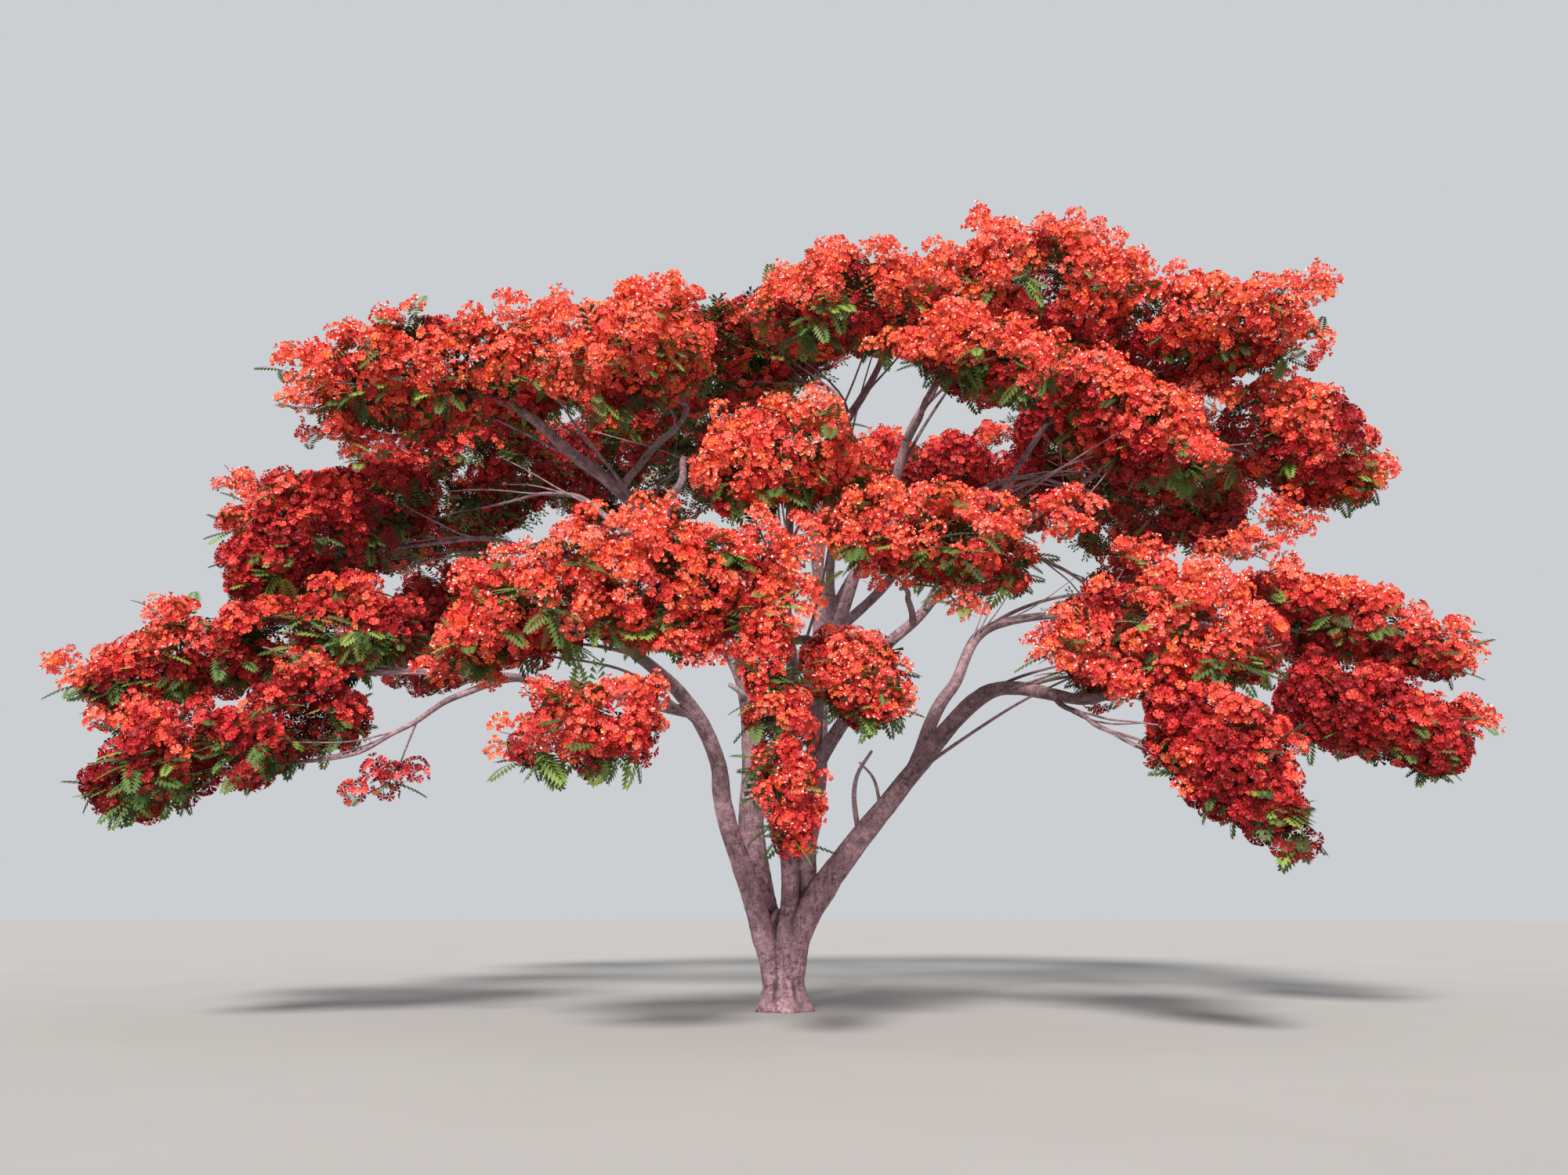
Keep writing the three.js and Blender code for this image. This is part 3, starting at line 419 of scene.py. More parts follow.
class Limb:
    """One row of LIMBS with the line that it follows and the space of its mass."""

    def __init__(self, row, index, limbs):
        self.name = row["name"]
        self.index = index
        self.girth = row["girth"]
        self.is_stem = self.name in STEMS
        self.carrier = None if self.is_stem else limbs[row["carrier"][0]]
        self.family = self.name if self.is_stem else self.carrier.family
        ahead = direction(row["heading"], -row["slope"])
        across = direction(row["heading"] + 90)
        self.axes = np.array([ahead, across, np.cross(ahead, across)])
        self.radii = np.array(row["size"]) / 2
        self.middle = np.array(row["at"], float)
        tip = (self.middle - ahead * self.radii[0] * MOUTH.back
               - self.axes[2] * self.radii[2] * MOUTH.under)
        if self.is_stem:
            bearing, foot = STEMS[self.name]
            root = direction(bearing) * foot + UP * TRUNK.stem_foot
        else:
            root = self.carrier.at(row["carrier"][1])
        if "knees" in row:
            self.arch = arch_through(root, row["knees"], tip)
        else:
            over_there = tip - root
            bearing = math.degrees(math.atan2(over_there[1], over_there[0]))
            leaving = direction(bearing, row["leave"])
            arriving = direction(row["heading"], -row["slope"] * ARCH.dip)
            self.arch = arch_between(root, leaving, tip, arriving)
        span = tip - root
        self.crook = np.linalg.norm(span) * CROOK.share
        self.phase = index * CROOK.apart
        self.side = left_of(span)
        self.head_size = HEAD_SIZES.get(self.name, 1)
        self.shaded = SHADED_MASSES.get(self.name, 0)
        self.least_patch = OPEN_MASSES.get(self.name, PATCH.least)
        self.is_open_inside = self.name in OPEN_INSIDE.masses

    def at(self, t):
        """Places along the line, which wanders a little off its arch."""
        t = np.asarray(t, float)
        swing = self.crook * np.sin(np.pi * t)
        turn = CROOK.waves * 2 * np.pi * t + self.phase
        sideways = (swing * np.sin(turn))[..., None] * self.side
        upwards = (swing * CROOK.rise * np.cos(turn * CROOK.rise_waves))[..., None] * UP
        return self.arch(t) + sideways + upwards

    def heading(self):
        """The direction of the line at its tip."""
        return unit(self.at(1.0) - self.at(LIMB.near_tip))

    def radius(self, t):
        t = np.asarray(t, float)
        taper = 1 - (1 - LIMB.tip_share) * t ** LIMB.taper_power
        swell = 0 if self.is_stem else LIMB.swell * np.exp(-t / LIMB.swell_length)
        return self.girth / 2 * (taper + swell)

    def share_at(self, height):
        """How far along a stem its line reaches a height."""
        low, high = 0.0, 1.0
        for _ in range(LIMB.halvings):
            middle = (low + high) / 2
            if self.at(middle)[2] < height:
                low = middle
            else:
                high = middle
        return low

    def inner_stem(self):
        """The line of the mass's own stem, and its radius, from the limb's tip inwards."""
        end = (self.middle + self.axes[0] * self.radii[0] * INNER_STEM.reach
               - self.axes[2] * self.radii[2] * INNER_STEM.sink)
        arch = arch_between(self.at(1.0), self.heading(), end, self.axes[0])
        start = self.radius(1.0)
        return arch, lambda t: start * (1 - (1 - INNER_STEM.tip_share) * np.asarray(t, float))

    def depth(self, places, margin):
        """How far out in the mass's space places lie: 1 is on its skin, grown by a margin."""
        shares = (places - self.middle) @ self.axes.T / (self.radii + margin)
        return np.linalg.norm(shares, axis=-1)


def lay_out_limbs():
    """Every limb by its name, parents first."""
    limbs = {}
    for index, row in enumerate(LIMBS):
        limbs[row["name"]] = Limb(row, index, limbs)
    return limbs


# Bark

def relief_at(place):
    """How far the bark stands proud at a place, by the limb's radius."""
    lump = noise.noise(place * RELIEF.lump_scale) * RELIEF.lump
    return lump + noise.noise(place * RELIEF.wrinkle_scale) * RELIEF.wrinkle


def bend_cylinder(bm, places, radii, side, sides, with_relief):
    """Adds a closed cylinder with a ring of vertices at each place. The layer limb_place keeps where each
    vertex would lie on the straight limb, for patterns that follow it."""
    straight = bm.verts.layers.float_vector.get("limb_place")
    before = len(bm.verts)
    made = bmesh.ops.create_cone(bm, cap_ends=True, segments=sides, radius1=1, radius2=1, depth=1)
    edges = {edge for vert in made["verts"] for edge in vert.link_edges}
    upright = [edge for edge in edges if edge.verts[0].co.z * edge.verts[1].co.z < 0]
    bmesh.ops.subdivide_edges(bm, edges=upright, cuts=len(places) - 2)
    bm.verts.ensure_lookup_table()
    ahead = unit(np.gradient(places, axis=0))
    across = unit(side - ahead * (ahead @ side)[:, None])
    over = np.cross(ahead, across)
    lengths = np.linalg.norm(np.diff(places, axis=0), axis=1)
    distance = np.concatenate([[0], np.cumsum(lengths)])
    for vert in bm.verts[before:]:
        ring = round((vert.co.z + 0.5) * (len(places) - 1))
        x, y = vert.co.x * float(radii[ring]), vert.co.y * float(radii[ring])
        centre = Vector(places[ring])
        place = centre + x * Vector(across[ring]) + y * Vector(over[ring])
        if straight:
            vert[straight] = (x, y, distance[ring])
        if with_relief:
            place = centre + (place - centre) * (1 + relief_at(place))
        vert.co = place


def limb_rings(limb, start):
    """Places and radii from a share of the limb to the end of its mass's own stem."""
    measured = limb.at(np.linspace(start, 1, BOUGH.measured))
    bough_length = np.linalg.norm(np.diff(measured, axis=0), axis=1).sum()
    steps = max(BOUGH.fewest, math.ceil(bough_length / BOUGH.ring_gap))
    along = np.linspace(start, 1, steps + 1)
    inner, inner_radius = limb.inner_stem()
    inner_length = np.linalg.norm(inner(1.0) - inner(0.0))
    inner_steps = max(BOUGH.fewest_inner, math.ceil(inner_length / BOUGH.ring_gap))
    inner_along = np.linspace(0, 1, inner_steps + 1)[1:]
    places = np.vstack([limb.at(along), inner(inner_along)])
    radii = np.concatenate([limb.radius(along), inner_radius(inner_along)])
    if limb.is_stem:
        risen = np.linalg.norm(places - places[0], axis=1) / BOLE.hidden
        radii = radii * (1 - BOLE.sunk_foot * np.clip(1 - BOLE.sunk_length * risen, 0, 1))
    return places, radii


def side_branches(limb):
    """Long thin branches that leave a bough on its way and fan out into the near part of its mass."""
    draws = seeded(FIRST_SEED + limb.index)
    made = []
    for k in range(BRANCH.each):
        t = BRANCH.first + (BRANCH.last - BRANCH.first) * (k + next(draws)) / BRANCH.each
        root = limb.at(t)
        deep = BRANCH.near + BRANCH.deep * next(draws)
        beside = 2 * BRANCH.beside * next(draws) - BRANCH.beside
        tip = limb.middle + (np.array([deep, beside, -BRANCH.under]) * limb.radii) @ limb.axes
        span = np.linalg.norm(tip - root)
        leaving = unit(limb.at(t + BRANCH.ahead) - root)
        bend = root + leaving * span * BRANCH.held
        along = np.linspace(0, 1, max(BRANCH.fewest, math.ceil(span / BRANCH.ring_gap)))[:, None]
        wander = np.sin(along * BRANCH.waves + BRANCH.phase * next(draws)) * np.sin(np.pi * along)
        wander = wander * span * BRANCH.wander
        places = bent_path(root, bend, tip, along) + wander * unit(np.cross(tip - root, UP))
        places = places + BRANCH.rise * wander[::-1] * UP
        foot = min(BRANCH.foot, float(limb.radius(t)) * BRANCH.keep)
        made.append((places, foot + (BRANCH.tip - foot) * along[:, 0]))
    return made


def finish_piece(bm, name, materials, smooth):
    """Turns a bmesh into an object of the scene."""
    mesh = bpy.data.meshes.new(name)
    bm.to_mesh(mesh)
    bm.free()
    return place_piece(mesh, name, materials, smooth)


def declare(piece, slot, *nodes):
    """Says which nodes a piece stands for and that it keeps still with the tree. Its slot, what it is made
    of, is not used.
    """
    if nodes:
        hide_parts(*nodes)
    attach(piece, "root")


def place_piece(mesh, name, materials, smooth):
    for material in materials:
        mesh.materials.append(material)
    mesh.polygons.foreach_set("use_smooth", np.full(len(mesh.polygons), smooth))
    piece = bpy.data.objects.new(name, mesh)
    bpy.context.scene.collection.objects.link(piece)
    return piece


def make_boughs(family, members, material):
    """The stem of a family above the fork and every bough that grows from it, with the bark's relief."""
    bm = bmesh.new()
    bm.verts.layers.float_vector.new("limb_place")
    for limb in members:
        places, radii = limb_rings(limb, limb.share_at(STEM_CUT - BOLE.hidden) if limb.is_stem else 0.0)
        sides = BOUGH.sides if limb.girth > BOUGH.thick else BOUGH.tip_sides
        bend_cylinder(bm, places, radii, limb.side, sides, with_relief=True)
        for places, radii in side_branches(limb):
            bend_cylinder(bm, places, radii, left_of(places[-1] - places[0]), BRANCH.sides, with_relief=True)
    piece = finish_piece(bm, "boughs_" + family, [material], smooth=True)
    declare(piece, "bark", *("bough_" + limb.name for limb in members))


def seam_depth(angle, z):
    """How deep the seams between the stems cut into the bole, as a share of its radius."""
    bearings = sorted(math.radians(bearing) for bearing, _ in STEMS.values())
    deepest = 0
    for before, after in zip(bearings, [*bearings[1:], bearings[0] + 2 * math.pi]):
        away = (angle - (before + after) / 2 + math.pi) % (2 * math.pi) - math.pi
        deepest = max(deepest, math.exp(-(away / SEAM.width) ** 2))
    rise = min(1, max(0, (z - SEAM.foot) / (TRUNK.height - SEAM.foot)))
    return SEAM.depth * math.sqrt(rise) * deepest


def shape_bole(bm):
    """The bole with its waist and root flares, from a plain cylinder."""
    bmesh.ops.create_cone(bm, cap_ends=True, segments=BOLE.sides, radius1=1, radius2=1, depth=1)
    upright = [edge for edge in bm.edges if edge.verts[0].co.z * edge.verts[1].co.z < 0]
    bmesh.ops.subdivide_edges(bm, edges=upright, cuts=BOLE.rings - 1)
    for vert in bm.verts:
        z = (TRUNK.height + BOLE.dome / 2) * (vert.co.z + 0.5)
        below = max(0, 1 - z / TRUNK.waist_height)
        above = max(0, (z - TRUNK.waist_height) / (TRUNK.height - TRUNK.waist_height))
        risen = max(0, (z - TRUNK.height) / BOLE.dome + 0.5)
        flare = (TRUNK.foot - TRUNK.waist) * below ** TRUNK.flare_power
        angle = math.atan2(vert.co.y, vert.co.x)
        lobe = 1 + TRUNK.lobe_depth * below * math.cos(TRUNK.lobes * angle + TRUNK.lobe_turn)
        radius = (TRUNK.waist + flare + (TRUNK.crown - TRUNK.waist) * above) * lobe
        radius *= (1 - seam_depth(angle, z)) * math.sqrt(max(0, 1 - risen**2))
        vert.co = (vert.co.x * radius, vert.co.y * radius, z)


def mark_hollows(mesh):
    """Keeps with each vertex how deep it lies in a crease: 0 on open bark, 1 at the bottom of a seam, where
    the bark paints shade.
    """
    count = len(mesh.vertices)
    places, normals = np.empty(3 * count), np.empty(3 * count)
    mesh.vertices.foreach_get("co", places)
    mesh.vertices.foreach_get("normal", normals)
    places, normals = places.reshape(-1, 3), normals.reshape(-1, 3)
    ends = np.empty(2 * len(mesh.edges), int)
    mesh.edges.foreach_get("vertices", ends)
    ends = np.vstack([ends.reshape(-1, 2), ends.reshape(-1, 2)[:, ::-1]])
    neighbours = np.bincount(ends[:, 0], minlength=count)
    evened = places
    for _ in range(BOLE.hollow_rounds):
        reached = evened[ends[:, 1]].T
        sums = [np.bincount(ends[:, 0], weights=along, minlength=count) for along in reached]
        evened = np.stack(sums, axis=1) / neighbours[:, None]
    depth = ((evened - places) * normals).sum(axis=1) / BOLE.hollow_depth
    attribute = mesh.attributes.new("hollow", "FLOAT", "POINT")
    attribute.data.foreach_set("value", np.clip(depth, 0, 1))


def make_trunk(stems, material):
    """The bole and the feet of the stems, melted into one skin that carries the bark's relief."""
    bm = bmesh.new()
    shape_bole(bm)
    for limb in stems:
        along = np.linspace(0, limb.share_at(STEM_CUT + BOLE.overlap), BOLE.foot_rings)
        places = limb.at(along)
        under = (places[:, 2] - STEM_CUT + BOLE.hidden) / (BOLE.hidden + BOLE.overlap)
        girth = 1 + BOLE.proud - BOLE.tuck * np.clip(under, 0, 1) ** 2
        bend_cylinder(bm, places, limb.radius(along) * girth, limb.side, 2 * BOUGH.sides, with_relief=False)
    rough = finish_piece(bm, "trunk_rough", [], smooth=True)
    melt = rough.modifiers.new("melt", "REMESH")
    melt.mode = "VOXEL"
    melt.voxel_size = BOLE.voxel
    skin = bpy.data.meshes.new_from_object(rough.evaluated_get(bpy.context.evaluated_depsgraph_get()))
    bpy.data.objects.remove(rough)
    bm = bmesh.new()
    bm.from_mesh(skin)
    all_ways = dict(use_axis_x=True, use_axis_y=True, use_axis_z=True)
    for _ in range(BOLE.smooth_rounds):
        bmesh.ops.smooth_vert(bm, verts=bm.verts[:], factor=0.5, **all_ways)
    bm.normal_update()
    moves = [vert.normal * (relief_at(vert.co) * BOLE.relief) for vert in bm.verts]
    for vert, move in zip(bm.verts, moves):
        vert.co += move
        vert.co.z = max(0, vert.co.z)
    piece = finish_piece(bm, "trunk_bark", [material], smooth=True)
    mark_hollows(piece.data)
    declare(piece, "bark", "trunk")


# Small shapes that are copied many times

class Pattern:
    """A small mesh as arrays, and the finish of each of its faces."""

    def __init__(self, bm):
        bm.verts.index_update()
        self.places = np.array([vert.co[:] for vert in bm.verts])
        self.corners = np.array([vert.index for face in bm.faces for vert in face.verts])
        self.totals = np.array([len(face.verts) for face in bm.faces])
        self.finishes = np.array([face.material_index for face in bm.faces])
        bm.free()


def add_blade(bm, length, width, widest, finish, corners=4):
    """A flat blade from the origin along +X, widest at a share of its length, where it ends if it has only
    three corners."""
    made = bmesh.ops.create_circle(bm, cap_ends=True, segments=corners, radius=1)
    for vert in made["verts"]:
        along, sideways = -vert.co.y, vert.co.x
        if abs(sideways) < 0.1:
            vert.co = (0, 0, 0) if along < 0 else (length, 0, 0)
        else:
            vert.co = (length * widest, math.copysign(width / 2, sideways), 0)
    for face in made["verts"][0].link_faces:
        face.material_index = finish
    return made["verts"]


def tip_up(bm, verts, angle, turn):
    """Lifts a blade from the level by an angle and turns it round +Z. Both are in degrees."""
    bmesh.ops.rotate(bm, verts=verts, cent=(0, 0, 0), matrix=Matrix.Rotation(-math.radians(angle), 3, "Y"))
    bmesh.ops.rotate(bm, verts=verts, cent=(0, 0, 0), matrix=Matrix.Rotation(math.radians(turn), 3, "Z"))


PETAL, STANDARD, STALK = 0, 1, 2


def flower_pattern(openness, crumple, with_stalk):
    """A flower that faces +Z: four spread petals, a pale standard that stands up, and its stalk."""
    bm = bmesh.new()
    for k in range(FLOWER.petals):
        if k == 0:
            verts = add_blade(bm, FLOWER.standard, FLOWER.standard_width, FLOWER.widest, STANDARD)
        else:
            verts = add_blade(bm, FLOWER.petal, FLOWER.width, FLOWER.widest, PETAL)
        for vert in verts:
            if 0 < vert.co.x < FLOWER.petal:
                vert.co.z += crumple * (1 if (k + (vert.co.y > 0)) % 2 else FLOWER.flatter)
        tip_up(bm, verts, 90 - (openness if k else FLOWER.standard_open), k * 360 / FLOWER.petals)
    if with_stalk:
        stalk = add_blade(bm, CORYMB.stalk, FLOWER.stalk_width, FLOWER.stalk_widest, STALK)
        tip_up(bm, stalk, -90, 0)
    return Pattern(bm)


def plain_flower_pattern(openness):
    """A plainer flower: five petals that widen to their ends."""
    bm = bmesh.new()
    for k in range(FLOWER.petals):
        verts = add_blade(bm, FLOWER.petal, FLOWER.end_width, FLOWER.end, PETAL, corners=3)
        tip_up(bm, verts, 90 - openness, k * 360 / FLOWER.petals)
    return Pattern(bm)


def bud_pattern():
    bm = bmesh.new()
    bmesh.ops.create_uvsphere(bm, u_segments=4, v_segments=2, radius=1)
    bmesh.ops.scale(bm, verts=bm.verts, vec=(BUD.across, BUD.across, BUD.along))
    return Pattern(bm)


def leaf_pattern():
    """A feathery leaf along +X: a rib with blades to both sides, arching down to its tip."""
    bm = bmesh.new()
    add_blade(bm, LEAF.long, LEAF.rib, LEAF.rib_widest, 0)
    for k in range(LEAF.pinnae):
        share = (k + LEAF.first) / LEAF.pinnae
        swell = math.sin(math.pi * (LEAF.swell_from + LEAF.swell_turn * share)) ** LEAF.swell_power
        for side in (-1, 1):
            verts = add_blade(bm, LEAF.pinna * swell, LEAF.blade, 0.5, 0)
            tip_up(bm, verts, 0, side * (LEAF.slant - LEAF.less_slant * share))
            bmesh.ops.translate(bm, verts=verts, vec=(LEAF.long * share * LEAF.along, 0, 0))
    for vert in bm.verts:
        share = vert.co.x / LEAF.long
        vert.co.z -= LEAF.droop * LEAF.long * share**2 + LEAF.side_droop * abs(vert.co.y)
    return Pattern(bm)


def plain_leaf_pattern():
    """A plainer leaf for insides and the back of the tree: a few blades that widen to their ends."""
    bm = bmesh.new()
    for k in range(PLAIN_LEAF.pairs):
        along = LEAF.long * (k + PLAIN_LEAF.first) / PLAIN_LEAF.pairs
        for side in (-1, 1):
            verts = add_blade(bm, LEAF.pinna, LEAF.blade * PLAIN_LEAF.wider, PLAIN_LEAF.end, 0, corners=3)
            tip_up(bm, verts, 0, side * (PLAIN_LEAF.slant - PLAIN_LEAF.less_slant * k))
            bmesh.ops.translate(bm, verts=verts, vec=(along, 0, 0))
    return Pattern(bm)


def facing_turns(normals, rolls, sizes):
    """Scaled turns that carry +Z to each normal, with a roll about it."""
    steep = np.abs(normals[:, 2:]) > STEEP
    u = unit(np.cross(np.where(steep, ACROSS, UP), normals))
    v = np.cross(normals, u)
    cos, sin = np.cos(rolls)[:, None], np.sin(rolls)[:, None]
    return np.stack([cos * u + sin * v, cos * v - sin * u, normals], axis=2) * sizes[:, None, None]


def pointing_turns(ahead, ups, sizes):
    """Scaled turns that carry +X ahead, and +Z as near to up as that lets it."""
    z = unit(ups - ahead * (ups * ahead).sum(1)[:, None])
    return np.stack([ahead, np.cross(z, ahead), z], axis=2) * sizes[:, None, None]


class Joined:
    """Collects many small shapes and makes one mesh of them."""

    def __init__(self):
        self.places, self.corners, self.totals, self.finishes = [], [], [], []
        self.count = 0

    def add(self, places, corners, totals, finishes):
        self.places.append(places)
        self.corners.append(corners + self.count)
        self.totals.append(totals)
        self.finishes.append(finishes)
        self.count += len(places)

    def add_copies(self, pattern, turns, places, tones):
        """Copies of a pattern. A copy's tone takes the place of finish 0, and the other finishes follow."""
        copies, size = len(places), len(pattern.places)
        later = pattern.finishes[None] + len(PETAL_TONES) - 1
        spread = np.einsum("nij,vj->nvi", turns, pattern.places) + places[:, None, :]
        corners = pattern.corners[None] + (np.arange(copies) * size)[:, None]
        finishes = np.where(pattern.finishes[None] == 0, tones[:, None], later)
        self.add(spread.reshape(-1, 3), corners.ravel(), np.tile(pattern.totals, copies), finishes.ravel())

    def add_tubes(self, paths, radii, sides):
        """Thin tubes along paths of the same number of places, closed at both ends."""
        copies, rings = paths.shape[:2]
        ahead = unit(np.gradient(paths, axis=1))
        steep = np.abs(ahead[:, rings // 2, 2]) > STEEP
        side = np.where(steep[:, None], ACROSS, UP)[:, None, :]
        u = unit(np.cross(ahead, side))
        v = np.cross(ahead, u)
        turn = 2 * np.pi * np.arange(sides) / sides
        ring = u[:, :, None] * np.cos(turn)[:, None] + v[:, :, None] * np.sin(turn)[:, None]
        places = paths[:, :, None] + ring * radii[:, :, None, None]
        k, s = np.meshgrid(np.arange(rings - 1), np.arange(sides), indexing="ij")
        here, there = k * sides + s, k * sides + (s + 1) % sides
        walls = np.stack([here, there, there + sides, here + sides], axis=-1).reshape(-1)
        foot = np.arange(sides)[::-1]
        tip = np.arange(sides) + (rings - 1) * sides
        corners = np.concatenate([walls, foot, tip])
        totals = np.concatenate([np.full((rings - 1) * sides, 4), [sides, sides]])
        starts = (np.arange(copies) * rings * sides)[:, None]
        self.add(places.reshape(-1, 3), (corners[None] + starts).ravel(), np.tile(totals, copies),
                 np.zeros(copies * len(totals), int))

    def finish(self, name, materials, smooth):
        mesh = bpy.data.meshes.new(name)
        places = np.concatenate(self.places)
        corners = np.concatenate(self.corners)
        totals = np.concatenate(self.totals)
        mesh.vertices.add(len(places))
        mesh.vertices.foreach_set("co", places.ravel())
        mesh.loops.add(len(corners))
        mesh.loops.foreach_set("vertex_index", corners)
        mesh.polygons.add(len(totals))
        mesh.polygons.foreach_set("loop_start", np.concatenate([[0], np.cumsum(totals)[:-1]]))
        mesh.polygons.foreach_set("material_index", np.concatenate(self.finishes))
        mesh.update(calc_edges=True)
        mesh.validate()
        return place_piece(mesh, name, materials, smooth)


# The masses

def spray_spots(limb, draws):
    """Places of the sprays, spread by the golden angle over the top of a mass and then under its rim."""
    inner = np.maximum(limb.radii - HEAD.radius * np.array(SPRAY.inset), SPRAY.least_inner)
    skin = math.pi * limb.radii[0] * limb.radii[1] * SPRAY.skin_turn
    count = max(SPRAY.fewest, math.floor(skin / SPRAY.area + 0.5))
    places = []
    for k in range(count):
        share = SPRAY.skin_turn * (k + 0.5) / count
        is_under = share > 1
        jitter = 1 + SPRAY.out_jitter * (next(draws) - 0.5)
        out = min(1, math.sqrt(2 - share if is_under else share) * jitter)
        angle = k * GOLDEN_ANGLE + SPRAY.turn_jitter * next(draws)
        over = (-1 if is_under else 1) * math.sqrt(1 - out * out)
        on_skin = np.array([out * math.cos(angle), out * math.sin(angle), over])
        places.append(limb.middle + (on_skin * inner) @ limb.axes)
        # The solids draw one more number for each spray, so the stream moves on by it here too.
        next(draws)
    return np.array(places)


def skin_spots(limb, draws, area, reach=1.0):
    """Places spread evenly over the skin of a mass from its top down past its rim, or at a share of its
    reach, and the way that each of them faces."""
    inset = np.array(FINE.inset) - CORYMB.reach * (1 - limb.head_size)
    inner = np.maximum(limb.radii - inset, SPRAY.least_inner) * reach
    inner = inner * SLIM.get(limb.name, 1)
    level = math.sqrt(limb.radii[0] * limb.radii[1])
    over = np.linspace(1, FINE.lowest, FINE.belts)
    belts = 2 * math.pi * level * np.hypot(level * over, limb.radii[2] * np.sqrt(1 - over**2))
    skin = np.cumsum(belts) * (over[0] - over[1])
    count = math.floor(skin[-1] * reach**2 / area)
    order = np.arange(count)
    jitter = np.array([(next(draws) - 0.5, next(draws)) for _ in range(count)])
    over = np.interp((order + 0.5) / count * skin[-1], skin, over) + FINE.over_jitter * jitter[:, 0]
    over = np.clip(over, -1, 1)
    out = np.sqrt(1 - over**2)
    angle = order * GOLDEN_ANGLE + SPRAY.turn_jitter * jitter[:, 1]
    on_skin = np.stack([out * np.cos(angle), out * np.sin(angle), over], axis=1)
    facings = unit((on_skin / inner) @ limb.axes)
    facings = unit(facings + (UP - facings) * SPRAY.face_up)
    return limb.middle + (on_skin * inner) @ limb.axes, facings


def is_clear(places, owner, limbs, space_margin, limb_margin, own_margin):
    """Which places lie outside every earlier mass's space and clear of the limbs."""
    clear = np.ones(len(places), bool)
    t = np.linspace(0, 1, SPRAY.limb_checks + 1)
    for other in limbs.values():
        if other.index < owner.index:
            clear &= other.depth(places, space_margin) >= 1
        margin = own_margin if other is owner else limb_margin
        gaps = np.linalg.norm(places[:, None] - other.at(t)[None], axis=2)
        clear &= (gaps >= other.radius(t) + margin).all(axis=1)
    return clear


def join_swell(places, owner, limbs):
    """How far the skin of a mass swells at each place, where another mass lies close enough to join it."""
    nearest = np.min([other.depth(places, 0) for other in limbs.values() if other is not owner], axis=0)
    closeness = (COVER.join_reach - nearest) / (COVER.join_reach - 1)
    room = np.interp(owner.radii.min(), (COVER.join_from, COVER.join_full), (0, 1))
    return COVER.join * room * np.clip(closeness, 0, 1) ** 2


def is_buried(places, owner, limbs):
    """Which places lie deep inside the space of another mass, where nothing of them shows."""
    others = [other for other in limbs.values() if other is not owner]
    return np.any([other.depth(places, FINE.buried) < 1 for other in others], axis=0)


class Growth:
    """The stretches of wood in a mass that a twig can leave from."""

    def __init__(self, limb):
        self.feet, self.tips = np.zeros((2, MOST_WOOD, 3))
        self.thickness = np.zeros((MOST_WOOD, 2))
        self.count = 0
        inner, inner_radius = limb.inner_stem()
        self.mouth = inner(0.0)
        for k in range(INNER_STEM.stretches):
            t = np.array([k, k + 1]) / INNER_STEM.stretches
            self.add(*inner(t), *inner_radius(t))

    def add(self, foot, tip, foot_radius, tip_radius):
        self.feet[self.count] = foot
        self.tips[self.count] = tip
        self.thickness[self.count] = foot_radius, tip_radius
        self.count += 1
        return foot, tip, foot_radius, tip_radius

    def nearest(self, target):
        """The place where a twig to the target leaves, and how thick its carrier is there."""
        feet, ahead = self.feet[:self.count], self.tips[:self.count] - self.feet[:self.count]
        share = ((target - feet) * ahead).sum(1) / (ahead**2).sum(1)
        share = np.clip(np.clip(share, 0, 1) - TWIG.back, TWIG.low, TWIG.high)
        places = feet + ahead * share[:, None]
        best = np.argmin(((places - target) ** 2).sum(1))
        foot, tip = self.thickness[best]
        return places[best], foot + (tip - foot) * share[best]

    def reach(self, target, sizes):
        """Adds a twig to the target, as thick as its sizes and its carrier let it be."""
        start, radius = self.nearest(target)
        foot_size = min(sizes.foot, radius * sizes.keep)
        return self.add(start, target, foot_size, min(sizes.tip, foot_size * sizes.slender))

    def from_mouth(self, places):
        """The order of places by how far they lie from where the bough comes in."""
        return np.argsort(np.linalg.norm(places - self.mouth, axis=1), kind="stable")


def add_sprigs(limb, growth):
    """The bare twigs that hang below a mass, and the few heads of blossom at their ends."""
    rows, heads = [], []
    for share, shade, knees, ends in SPRIGS.get(limb.name, []):
        places = [limb.at(share), *np.array(knees, float)]
        sizes = np.linspace(TWIG.tip, FINE.foot, len(places))
        for k in range(len(knees)):
            rows.append(growth.add(places[k], places[k + 1], sizes[k], sizes[k + 1]))
        heads += [(*end, shade) for end in ends]
    return rows, heads


def add_clumps(limb, growth, draws):
    """A twig to each loose clump beside a mass, and the places of its heads of blossom."""
    rows, heads = [], []
    for *middle, wide, high, count, shade in CLUMPS.get(limb.name, []):
        start, radius = growth.nearest(np.array(middle))
        rows.append(growth.add(start, np.array(middle), min(TWIG.tip, radius), FINE.foot))
        for _ in range(count):
            out, turn = math.sqrt(next(draws)), 2 * math.pi * next(draws)
            across, deep = wide * out * math.cos(turn), wide * (next(draws) - 0.5)
            heads.append((*(np.array([across, deep, high * out * math.sin(turn)]) + middle), shade))
    return rows, heads


def noise_at(places, scale):
    return np.array([noise.noise(Vector(place * scale)) for place in places])


def patch_noise(limb, places):
    return noise_at(places, PATCH.scale / np.clip(limb.radii.min(), PATCH.thinnest, 1))


def inward(places, facings):
    """How far each place faces the middle of the crown: 1 straight at it, -1 straight away."""
    return -(facings * unit(places - CROWN_MIDDLE)).sum(axis=1)


